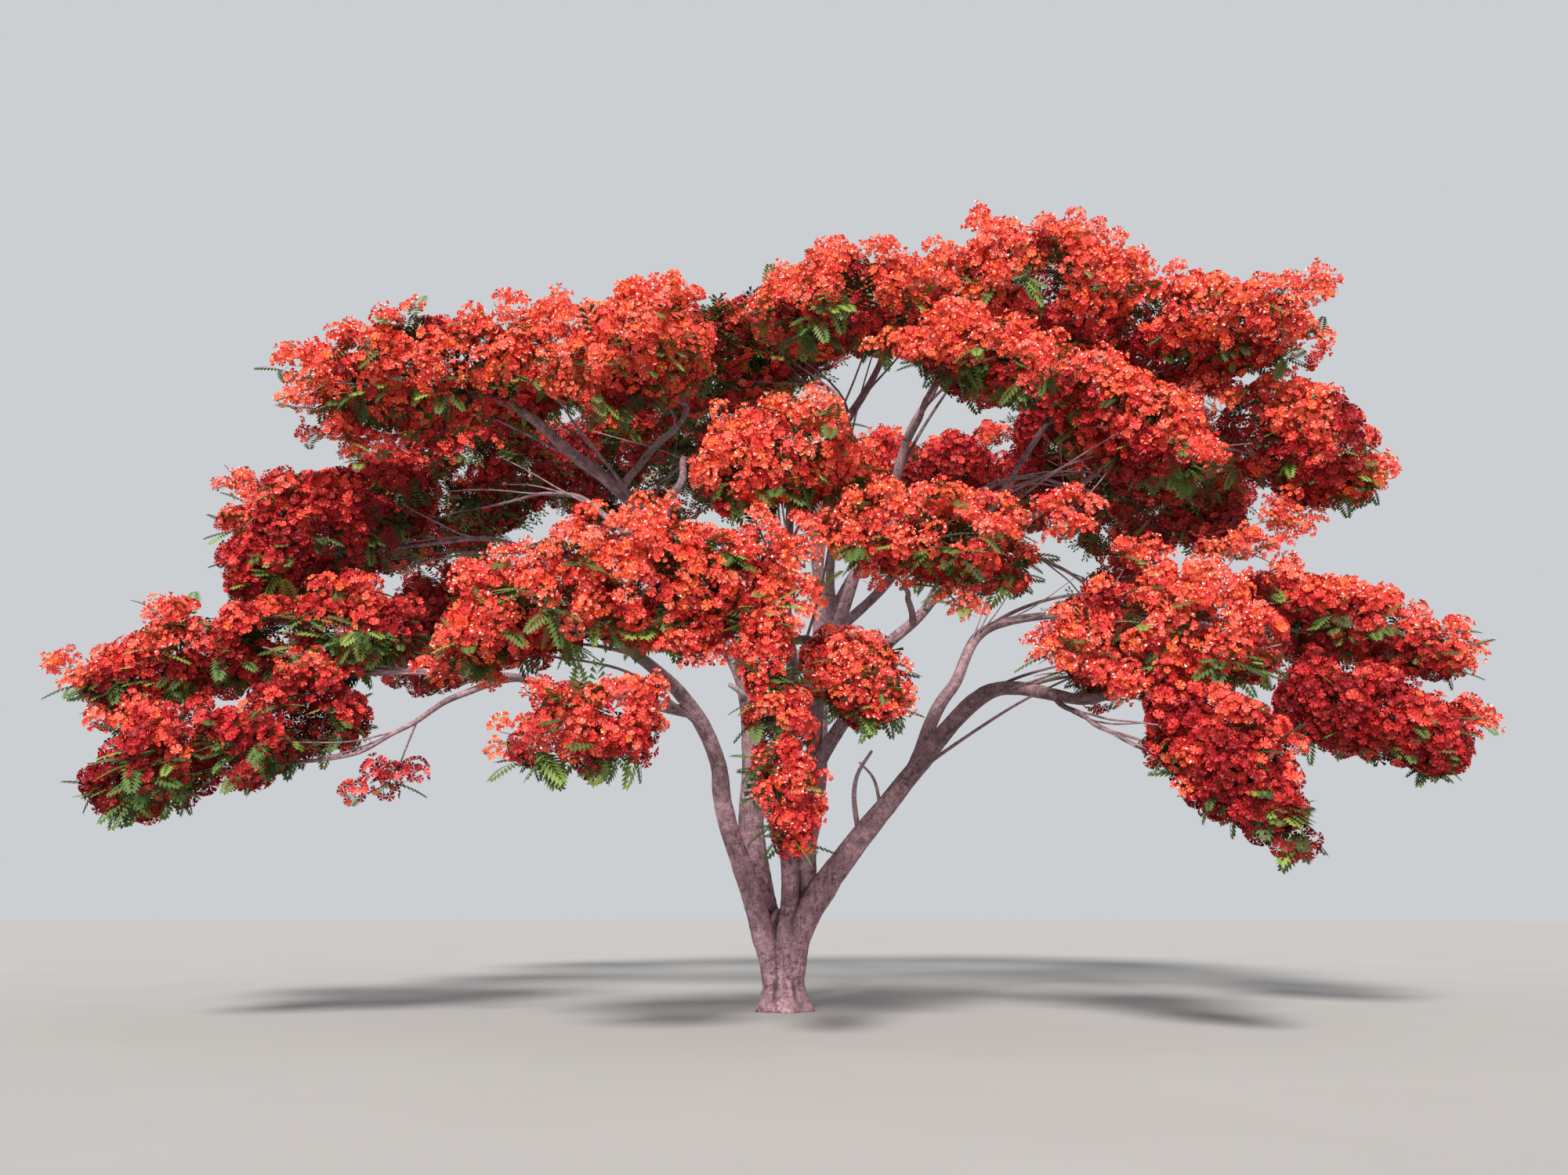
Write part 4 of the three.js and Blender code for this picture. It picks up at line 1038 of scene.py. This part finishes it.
def cover_mass(limb, limbs, sprays, draws):
    """The places of the cover, which way each faces, its patch noise, its painted shade, and whether it is
    kept.
    """
    room = limb.radii.min() / COVER.full
    places, facings = skin_spots(limb, draws, FINE.area * limb.head_size**2)
    away = np.linalg.norm(places[:, None] - sprays[None], axis=2).min(axis=1)
    deepest = COVER.hollow * np.clip(room, COVER.thinnest, COVER.most_hollow)
    sunk = deepest * np.clip(away / COVER.hollow_spread, 0, 1) ** 2
    sunk = sunk + COVER.sink * np.array([next(draws) for _ in places]) ** 2
    places = places - facings * sunk[:, None]
    inwards = inward(places, facings)
    # Painted shade: deeper reds in the hollows, under the rim and on the side that faces the middle of the
    # crown, shifted by the mass's own shade.
    shade = SHADE.sunk * sunk + SHADE.under * np.clip(SHADE.under_from - facings[:, 2], 0, 1)
    shade += SHADE.inner * np.clip(inwards - SHADE.inner_from, 0, 1)
    shade = np.clip(shade + limb.shaded, SHADE.lightest, SHADE.deepest)
    lump = np.clip(noise_at(places, COVER.lump_scale) * COVER.lump, -COVER.lump_in, COVER.lump_out)
    lump = lump * np.clip(room, COVER.thinnest, 1)
    # Painted shade: deeper reds where the cover bulges inwards.
    shade = np.clip(shade - SHADE.lump * np.minimum(lump, 0), SHADE.lightest, SHADE.deepest)
    places = places + facings * (lump + join_swell(places, limb, limbs))[:, None]
    keep = is_clear(places, limb, limbs, FINE.from_space, FINE.from_limb, FINE.from_limb)
    keep &= ~is_buried(places, limb, limbs)
    patch = patch_noise(limb, places)
    keep &= patch > limb.least_patch
    if limb.is_open_inside:
        keep &= (inwards < OPEN_INSIDE.inward) | (patch > OPEN_INSIDE.patch_least)
    return places, facings, patch, shade, keep


def line_mass(limb, limbs, draws):
    """The places of the inner skin of plain flowers, which way each faces, and its painted shade."""
    places, facings = skin_spots(limb, draws, LINING.area * limb.head_size**2, LINING.share)
    inside = is_clear(places, limb, limbs, 0, FINE.from_limb, FINE.from_limb)
    inside &= ~is_buried(places, limb, limbs)
    if limb.is_open_inside:
        inside &= inward(places, facings) < OPEN_INSIDE.inward
    is_open = patch_noise(limb, places) < limb.least_patch + LINING.open_margin
    inside &= ~is_open | (limb.radii.min() > LINING.thick)
    # Painted shade: the lining is dealt deeper reds, deepest in the open patches.
    shade = np.where(is_open, LINING.open_shade, LINING.shade + LINING.from_mass * limb.shaded)
    return places[inside], facings[inside], shade[inside]


def grow_mass(limb, limbs):
    """The twigs of a mass and where its heads and leaves sit. The sprays come first, by the rule of the
    solids, and then the sprigs, the clumps and the cover, which grow on from them."""
    growth = Growth(limb)
    draws = seeded(FIRST_SEED + limb.index)
    sprays = spray_spots(limb, draws)
    margins = HEAD.radius * np.array([SPRAY.from_space, SPRAY.from_limb, SPRAY.from_own_limb])
    sprays = sprays[is_clear(sprays, limb, limbs, *margins)]
    spurs = [growth.reach(spray, TWIG) for spray in sprays[growth.from_mouth(sprays)]]
    places, facings, patch, shade, keep = cover_mass(limb, limbs, sprays, draws)
    bare, heads = add_sprigs(limb, growth)
    clump_twigs, clump_heads = add_clumps(limb, growth, draws)
    bare += clump_twigs
    beside = np.array(heads + clump_heads, float).reshape(-1, 4)
    places = np.vstack([places[keep], beside[:, :3]])
    facings = np.vstack([facings[keep], np.tile(unit(LOOSE_HEADS.facing), (len(beside), 1))])
    patch = np.append(patch[keep], np.full(len(beside), LOOSE_HEADS.patch))
    shade = np.append(shade[keep], beside[:, 3])
    order = growth.from_mouth(places)
    cover = [row[order] for row in (places, facings, patch, shade)]
    fine = [growth.reach(place, FINE) for place in cover[0]]
    spots, _ = skin_spots(limb, draws, CORE.area, CORE.share)
    spots = spots[is_clear(spots, limb, limbs, FINE.from_space, 0, 0)]
    core = np.array([growth.nearest(spot)[0] for spot in spots])
    return (spurs, bare, fine), cover, (core, unit(spots - core)), line_mass(limb, limbs, draws)


def add_twigs(twigs, rows, tube, random, facings=None):
    """Tubes for rows of foot, tip and their radii. Each twig leaves its carrier at a slant, sways, and turns
    at its tip to face its spot."""
    if not rows:
        return
    feet, tips, foot_size, tip_size = (np.array(column) for column in zip(*rows))
    span = np.linalg.norm(tips - feet, axis=1)[:, None]
    middle = (feet + tips) / 2 + random.normal(size=feet.shape) * span * tube.sway
    if facings is not None:
        middle = middle - facings * span * SLANT
    along = np.linspace(0, 1, tube.rings)
    paths = bent_path(feet[:, None], middle[:, None], tips[:, None], along[None, :, None])
    radii = foot_size[:, None] * (1 - along) + tip_size[:, None] * along
    twigs.add_tubes(paths, radii, tube.sides)


def lean_out(facings, lean, turn):
    """Directions that lean away from each facing, to the side that a turn round it gives."""
    base = facing_turns(facings, turn, np.ones(len(facings)))
    return base[:, :, 2] * np.cos(lean)[:, None] + base[:, :, 0] * np.sin(lean)[:, None]


def dome_directions(facings, each, random):
    """Directions for the flowers of each head, spread evenly over a dome round its facing."""
    heads = len(facings)
    order = np.tile(np.arange(each), heads)
    lean = CORYMB.spread * np.sqrt((order + 0.5) / each)
    lean = lean + CORYMB.spread_jitter * random.normal(size=len(order))
    turn = np.repeat(2 * np.pi * random.random(heads), each) + order * GOLDEN_ANGLE
    return lean_out(np.repeat(facings, each, axis=0), np.radians(lean), turn)


def spread_directions(facings, spread, random):
    """Directions round each facing, within a spread in degrees."""
    lean = np.radians(spread) * np.sqrt(random.random(len(facings)))
    return lean_out(facings, lean, 2 * np.pi * random.random(len(facings)))


def make_bare_twigs(limbs, material):
    """Bare sprouts and a broken stub low on the stems, and dead twigs that fan out on the right."""
    bm = bmesh.new()
    bm.verts.layers.float_vector.new("limb_place")
    paths = []
    for name, share, foot, tip, knees in SPROUTS:
        paths.append((limbs[name].at(share), np.array(knees), foot, tip))
    draws = seeded(FIRST_SEED)
    for k in range(DEAD_FAN.count):
        carrier = limbs[DEAD_FAN.carriers[k % 2]]
        root = carrier.at(DEAD_FAN.first + DEAD_FAN.spread * k / DEAD_FAN.count)
        bearing = DEAD_FAN.bearing + DEAD_FAN.fan * (next(draws) - 0.5)
        ahead = direction(bearing, DEAD_FAN.fan * next(draws))
        length = DEAD_FAN.length * (DEAD_FAN.least + DEAD_FAN.more * next(draws))
        middle = root + ahead * length / 2 - UP * length * DEAD_FAN.sag
        paths.append((root, np.array([middle, root + ahead * length]), DEAD_FAN.foot, DEAD_FAN.tip))
    along = np.linspace(0, 1, DEAD_FAN.rings)
    for root, knees, foot, tip in paths:
        places = arch_through(root, knees[:-1], knees[-1])(along)
        radii = foot + (tip - foot) * along
        bend_cylinder(bm, places, radii, left_of(knees[-1] - root), DEAD_FAN.sides, with_relief=True)
    declare(finish_piece(bm, "bare_twigs", [material], smooth=True), "bark")


def make_mass_pieces(group, members, limbs, finishes, patterns):
    """Twigs, flowers, buds and leaves of every mass in a group, each kind as one piece."""
    random = np.random.default_rng(FIRST_SEED + members[0].index)
    twigs, flowers, buds, leaves = Joined(), Joined(), Joined(), Joined()
    leaf = patterns["plain_leaf" if group in PLAIN_LEAVED else "leaf"]
    for limb in members:
        (spurs, bare, fine), (places, facings, patch, shade), core, lining = grow_mass(limb, limbs)
        add_twigs(twigs, spurs, SPUR_TUBE, random)
        add_twigs(twigs, bare, BARE_TUBE, random)
        add_twigs(twigs, fine, FINE_TUBE, random, facings)
        leafy = LEAFY_MASSES.get(limb.name, LEAFY.usual)
        leafy = leafy + LEAFY.rim * np.clip(LEAFY.rim_from - facings[:, 2], 0, 1)
        chance = random.random(len(places))
        chance = chance - LEAFY.patch * np.clip(-patch, -LEAFY.most_patch, LEAFY.most_patch)
        is_leafy = chance < leafy
        heads = [row[~is_leafy] for row in (places, facings, shade)]
        add_corymbs(flowers, buds, *heads, limb.head_size, patterns, random)
        add_lining(flowers, *lining, limb.head_size, patterns, random)
        add_leaves(leaves, places[is_leafy], facings[is_leafy], LEAFY.each, LEAFY.tones, leaf, random)
        beside = ~is_leafy & (random.random(len(places)) < LEAFY.beside * leafy)
        add_leaves(leaves, places[beside], facings[beside], LEAFY.each_beside, LEAFY.tones, leaf, random)
        add_leaves(leaves, *core, CORE.leaves, CORE.tones, patterns["plain_leaf"], random)
    for kind, joined, materials, smooth, slot in (
        ("twigs_", twigs, [finishes["twig"]], True, "bark"),
        ("flowers_", flowers, finishes["flower"], False, "blossom"),
        ("buds_", buds, [finishes["bud"]], True, "blossom"),
        ("leaves_", leaves, finishes["leaf"], False, "leaf"),
    ):
        piece = joined.finish(kind + group, materials, smooth)
        declare(piece, slot, *("blossom_" + limb.name for limb in members))


def deal_tones(shade, random):
    """A petal tone for each painted shade: flame and coral as painted light, crimson and a dark red as
    painted shade in the hollows.
    """
    light = np.clip(1 - shade, 0, 2)
    shares = np.stack([
        DEALT.scarlet * np.clip(DEALT.scarlet_until - shade, DEALT.least_scarlet, 1),
        DEALT.flame * light,
        np.clip(DEALT.crimson + DEALT.more_crimson * shade, 0, 1),
        DEALT.coral * light,
        np.clip(DEALT.shadow * (shade - DEALT.shadow_from), 0, 2),
    ], axis=1)
    steps = np.cumsum(shares, axis=1) / shares.sum(axis=1, keepdims=True)
    return np.minimum((random.random(len(shade))[:, None] > steps).sum(axis=1), len(PETAL_TONES) - 1)


def add_corymbs(flowers, buds, places, facings, shade, head_size, patterns, random):
    """A head of flowers at each place: stalks fan out of the twig's tip, with a few buds in the middle.
    Flowers in the shade are a little larger, because fewer of them show."""
    heads = len(places)
    if not heads:
        return
    each = CORYMB.flowers
    tone_of_head = deal_tones(shade, random)
    owner = np.repeat(np.arange(heads), each)
    out = dome_directions(facings, each, random)
    along = head_size * (CORYMB.rise + random.random(len(owner))[:, None] * CORYMB.axis)
    size = 1 + CORYMB.stalk_jitter * (random.random(len(owner)) - 0.5)
    size = head_size * (size + CORYMB.larger_in_shade * np.maximum(shade[owner], 0))
    centre = places[owner] + facings[owner] * along + out * (CORYMB.stalk * size)[:, None]
    is_own = random.random(len(owner)) < CORYMB.own_tone
    tone = np.where(is_own, tone_of_head[owner], deal_tones(shade[owner], random))
    kinds = random.choice(len(CORYMB.kinds), size=len(owner), p=CORYMB.kinds)
    is_plain = random.random(len(owner)) < CORYMB.plain_in_shade * (shade[owner] - CORYMB.plain_from)
    kinds[is_plain] = len(CORYMB.kinds)
    rolls = 2 * np.pi * random.random(len(owner))
    turns = facing_turns(out, rolls, size)
    for kind, pattern in enumerate(patterns["flowers"]):
        chosen = kinds == kind
        flowers.add_copies(pattern, turns[chosen], centre[chosen], tone[chosen])
    owner = np.repeat(np.arange(heads), CORYMB.buds)
    out = spread_directions(facings[owner], CORYMB.bud_spread, random)
    centre = places[owner] + head_size * (facings[owner] * CORYMB.bud_rise + out * CORYMB.bud_out)
    size = BUD.least + BUD.more * random.random(len(owner))
    turns = facing_turns(out, np.zeros(len(owner)), size)
    buds.add_copies(patterns["bud"], turns, centre, np.zeros(len(owner), int))


def add_lining(flowers, places, facings, shade, head_size, patterns, random):
    """Plain flowers a little way inside the skin."""
    owner = np.repeat(np.arange(len(places)), LINING.flowers)
    out = dome_directions(facings, LINING.flowers, random)
    tones = deal_tones(shade[owner], random)
    sizes = np.full(len(owner), head_size * LINING.size)
    turns = facing_turns(out, 2 * np.pi * random.random(len(owner)), sizes)
    flowers.add_copies(patterns["flowers"][-1], turns, places[owner] + out * head_size * LINING.reach, tones)


def add_leaves(leaves, places, facings, each, shares, pattern, random):
    """Leaves that fan out level and downwards from each place."""
    if not len(places):
        return
    owner = np.repeat(np.arange(len(places)), each)
    out = spread_directions(facings[owner], LEAF.spread, random)
    out[:, 2] = out[:, 2] * LEAF.level - LEAF.sink
    size = LEAF.least + LEAF.more * random.random(len(owner))
    ups = unit(facings[owner] * LEAF.face + UP)
    tones = random.choice(len(shares), size=len(owner), p=shares)
    leaves.add_copies(pattern, pointing_turns(unit(out), ups, size), places[owner], tones)


# Finishes

def new_material(name):
    material = bpy.data.materials.new(name)
    material.use_nodes = True
    return material, material.node_tree, material.node_tree.nodes["Principled BSDF"]


def new_group(name, inputs):
    """A node group with named inputs that puts out a colour, a roughness and a height, and its two ends."""
    group = bpy.data.node_groups.new(name, "ShaderNodeTree")
    outputs = {"Color": "Color", "Roughness": "Float", "Height": "Float"}
    for side, sockets in (("INPUT", inputs), ("OUTPUT", outputs)):
        for label, kind in sockets.items():
            group.interface.new_socket(label, in_out=side, socket_type="NodeSocket" + kind)
    return group, group.nodes.new("NodeGroupInput").outputs, group.nodes.new("NodeGroupOutput").inputs


def feed(tree, sockets, values):
    """Gives each named socket a plain value, or a link from another node."""
    for label, value in values.items():
        if isinstance(value, bpy.types.NodeSocket):
            tree.links.new(value, sockets[label])
        else:
            sockets[label].default_value = value


def add_node(tree, kind, output, values, **settings):
    """A node with its settings and inputs. Returns the output that is asked for."""
    node = tree.nodes.new("ShaderNode" + kind)
    for name, setting in settings.items():
        setattr(node, name, setting)
    feed(tree, node.inputs, values)
    return node.outputs[output]


def object_place(tree):
    return add_node(tree, "TexCoord", "Object", {})


def add_noise(tree, scale, detail, roughness, place):
    values = {"Scale": scale, "Detail": detail, "Roughness": roughness, "Vector": place}
    return add_node(tree, "TexNoise", "Fac", values)


def add_stretch(tree, scale, place):
    return add_node(tree, "Mapping", "Vector", {"Scale": scale, "Vector": place})


def add_span(tree, value, low, high, to_low=0.0, to_high=1.0):
    values = {"Value": value, "From Min": low, "From Max": high, "To Min": to_low, "To Max": to_high}
    return add_node(tree, "MapRange", "Result", values)


def add_mix(tree, factor, first, second):
    """Mixes two colours by a factor. Each colour is a socket or a plain value."""
    return add_node(tree, "Mix", 2, {0: factor, 6: first, 7: second}, data_type="RGBA")


def add_math(tree, operation, first, second):
    return add_node(tree, "Math", 0, {0: first, 1: second}, operation=operation)


def add_up(tree, first, first_share, second, second_share):
    """The sum of shares of two values."""
    parts = [add_math(tree, "MULTIPLY", first, first_share), add_math(tree, "MULTIPLY", second, second_share)]
    return add_math(tree, "ADD", *parts)


def bark_group():
    """Bark: mauve and pinkish grey patches, mottled, with pale specks, dark blotches, dashes that ring the
    limb, cracks that run along it, and painted shade that darkens the creases of the seams."""
    inputs = {"Place": "Vector", "Along": "Vector", "Seam": "Float", "Dark": "Color", "Pale": "Color"}
    group, start, end = new_group("bark_pattern", inputs)
    place, along = start["Place"], start["Along"]
    ringed = add_stretch(group, (11, 11, 70), along)
    drawn_out = add_stretch(group, (24, 24, 2.4), along)
    patches = add_span(group, add_noise(group, 2.1, 6, 0.62, place), 0.36, 0.64)
    mottle = add_span(group, add_noise(group, 13, 6, 0.7, place), 0.4, 0.6)
    blotches = add_span(group, add_noise(group, 6.5, 7, 0.72, place), 0.53, 0.62)
    specks = add_span(group, add_noise(group, 42, 3, 0.6, place), 0.58, 0.68)
    dashes = add_span(group, add_noise(group, 1, 4, 0.6, ringed), 0.54, 0.66)
    cracks = add_span(group, add_noise(group, 1, 5, 0.65, drawn_out), 0.56, 0.66)
    colour = add_mix(group, add_up(group, patches, 0.4, mottle, 0.6), start["Dark"], start["Pale"])
    for mark, share, tint in (
        (specks, 0.5, (0.7, 0.55, 0.54, 1)),
        (blotches, 0.6, (0.13, 0.075, 0.08, 1)),
        (dashes, 0.45, (0.15, 0.09, 0.095, 1)),
        (cracks, 0.6, (0.09, 0.055, 0.06, 1)),
        # Painted shade: the creases are darkened by how deep they lie.
        (start["Seam"], 0.85, (0.05, 0.03, 0.03, 1)),
    ):
        colour = add_mix(group, add_math(group, "MULTIPLY", mark, share), colour, tint)
    height = add_math(group, "SUBTRACT", add_math(group, "MULTIPLY", dashes, -0.5), cracks)
    height = add_math(group, "ADD", height, add_math(group, "MULTIPLY", mottle, 0.5))
    roughness = add_span(group, blotches, 0, 1, 0.82, 0.95)
    feed(group, end, {"Color": colour, "Roughness": roughness, "Height": height})
    return group


def tone_group():
    """A plain colour that drifts a little towards a second one, by spray and by petal."""
    group, start, end = new_group("living_tone", {"First": "Color", "Second": "Color"})
    place = object_place(group)
    drift = add_span(group, add_noise(group, 2.4, 3, 0.6, place), 0.35, 0.65)
    fleck = add_span(group, add_noise(group, 34, 2, 0.5, place), 0.38, 0.62)
    feed(group, end, {
        "Color": add_mix(group, add_up(group, drift, 0.3, fleck, 0.7), start["First"], start["Second"]),
        "Roughness": add_span(group, fleck, 0, 1, 0.45, 0.7),
        "Height": add_noise(group, 130, 2, 0.5, place),
    })
    return group


def dress(tree, shader, group, values, strength, distance):
    """Feeds a shader from a pattern group with values of its own, and bumps as strong and high as given."""
    pattern = add_node(tree, "Group", 0, {}, node_tree=group).node
    feed(tree, pattern.inputs, values)
    bump = {"Strength": strength, "Distance": distance, "Height": pattern.outputs["Height"]}
    feed(tree, shader.inputs, {
        "Base Color": pattern.outputs["Color"],
        "Roughness": pattern.outputs["Roughness"],
        "Normal": add_node(tree, "Bump", "Normal", bump),
    })


def bark_material(name, group, dark, pale, follows_limb=False, has_crease_shade=False):
    """Bark whose two tones turn from those at the fork to its own higher up; for trunk and boughs these are
    darker, painted shade under the crown.
    """
    material, tree, shader = new_material(name)
    place = object_place(tree)
    values = {"Place": place, "Along": place}
    if follows_limb:
        values["Along"] = add_node(tree, "Attribute", "Vector", {}, attribute_name="limb_place")
    if has_crease_shade:
        # Painted shade in the creases, by the depth that mark_hollows keeps.
        values["Seam"] = add_node(tree, "Attribute", "Fac", {}, attribute_name="hollow")
    # Painted shade for trunk and boughs: above the fork the bark turns to the darker given tones.
    risen = add_span(tree, add_node(tree, "SeparateXYZ", "Z", {0: place}), STEM_CUT, BARK_LOW.top)
    values["Dark"] = add_mix(tree, risen, (*BARK_LOW.dark, 1), (*dark, 1))
    values["Pale"] = add_mix(tree, risen, (*BARK_LOW.pale, 1), (*pale, 1))
    dress(tree, shader, group, values, BUMPS.bark, BUMPS.bark_height)
    return material


def living_material(name, group, first, second, bump):
    """Petals, buds and leaves: soft and slightly glossy, with a colour that drifts."""
    material, tree, shader = new_material(name)
    shader.inputs["Specular IOR Level"].default_value = SOFT_SHEEN
    dress(tree, shader, group, {"First": (*first, 1), "Second": (*second, 1)}, bump, BUMPS.living_height)
    return material


def make_finishes():
    bark, tone = bark_group(), tone_group()
    flower, leaf = (
        [living_material(kind + name, tone, *pair, bump) for name, pair in tones.items()]
        for kind, tones, bump in (("petal_", PETAL_TONES, BUMPS.petal), ("leaf_", LEAF_TONES, BUMPS.leaf))
    )
    flower.append(living_material("petal_standard", tone, (1.0, 0.62, 0.52), (1.0, 0.86, 0.78), BUMPS.petal))
    flower.append(living_material("flower_stalk", tone, (0.32, 0.2, 0.03), (0.5, 0.12, 0.03), BUMPS.stalk))
    return {
        "trunk": bark_material("bark_trunk", bark, BARK_SHADED_HIGH.dark, BARK_SHADED_HIGH.pale, has_crease_shade=True),
        "bough": bark_material("bark_bough", bark, BARK_SHADED_HIGH.dark, BARK_SHADED_HIGH.pale, follows_limb=True),
        "twig": bark_material("bark_twig", bark, (0.13, 0.08, 0.08), (0.3, 0.2, 0.2)),
        "dead": bark_material("bark_dead", bark, (0.2, 0.14, 0.15), (0.6, 0.46, 0.48), follows_limb=True),
        "flower": flower,
        "bud": living_material("bud_skin", tone, (0.45, 0.13, 0.02), (0.42, 0.3, 0.05), BUMPS.petal),
        "leaf": leaf,
    }


# Stage

def make_stage():
    """A wide pale floor, a soft main light from the upper left and an even pale surround."""
    bm = bmesh.new()
    bmesh.ops.create_circle(bm, cap_ends=True, segments=FLOOR.corners, radius=FLOOR.radius)
    material, tree, shader = new_material("pale_floor")
    patches = add_noise(tree, FLOOR.patches, 4, 0.5, object_place(tree))
    colour = add_mix(tree, patches, (0.4, 0.39, 0.375, 1), (0.45, 0.44, 0.425, 1))
    feed(tree, shader.inputs, {"Base Color": colour, "Roughness": FLOOR.roughness})
    finish_piece(bm, "floor", [material], smooth=False)

    sun = bpy.data.lights.new("main_light", "SUN")
    sun.energy = SUN.energy
    sun.angle = math.radians(SUN.angle)
    sun.color = SUN.colour
    lamp = bpy.data.objects.new("main_light", sun)
    lamp.rotation_euler = [math.radians(turn) for turn in SUN.turn]
    bpy.context.scene.collection.objects.link(lamp)

    world = bpy.data.worlds.new("surround")
    world.use_nodes = True
    tree = world.node_tree
    soft_light = tree.nodes["Background"]
    feed(tree, soft_light.inputs, {"Color": SKY.colour, "Strength": SKY.strength})
    backdrop = add_node(tree, "Background", 0, {"Color": SKY.backdrop})
    is_seen = add_node(tree, "LightPath", "Is Camera Ray", {})
    chosen = add_node(tree, "MixShader", 0, {0: is_seen, 1: soft_light.outputs[0], 2: backdrop})
    feed(tree, tree.nodes["World Output"].inputs, {"Surface": chosen})
    bpy.context.scene.world = world
    bpy.context.scene.view_settings.view_transform = "Standard"


def make_camera():
    data = bpy.data.cameras.new("camera")
    data.sensor_width = CAMERA.sensor
    data.sensor_fit = "HORIZONTAL"
    data.lens = CAMERA.lens
    data.clip_end = CAMERA.farthest
    camera = bpy.data.objects.new("camera", data)
    camera.location = (0, -CAMERA.back, CAMERA.height)
    camera.rotation_euler = (math.radians(90 + CAMERA.pitch), 0, 0)
    bpy.context.scene.collection.objects.link(camera)
    bpy.context.scene.camera = camera


def build_tree():
    limbs = lay_out_limbs()
    finishes = make_finishes()
    # The last flower is the plainest, for the shade and the lining.
    patterns = {
        "flowers": [
            flower_pattern(FLOWER.open, FLOWER.crumple, with_stalk=True),
            flower_pattern(FLOWER.half_open, FLOWER.deeper_crumple, with_stalk=False),
            plain_flower_pattern(FLOWER.wide_open),
            plain_flower_pattern(FLOWER.plain_open),
        ],
        "bud": bud_pattern(),
        "leaf": leaf_pattern(),
        "plain_leaf": plain_leaf_pattern(),
    }
    make_trunk([limb for limb in limbs.values() if limb.is_stem], finishes["trunk"])
    for family in STEMS:
        members = [limb for limb in limbs.values() if limb.family == family]
        make_boughs(family, members, finishes["bough"])
    make_bare_twigs(limbs, finishes["dead"])
    for group in [*STEMS, *dict.fromkeys(FOLIAGE_GROUPS.values())]:
        members = [limb for limb in limbs.values() if FOLIAGE_GROUPS.get(limb.name, limb.family) == group]
        make_mass_pieces(group, members, limbs, finishes, patterns)


make_camera()
build_tree()
make_stage()
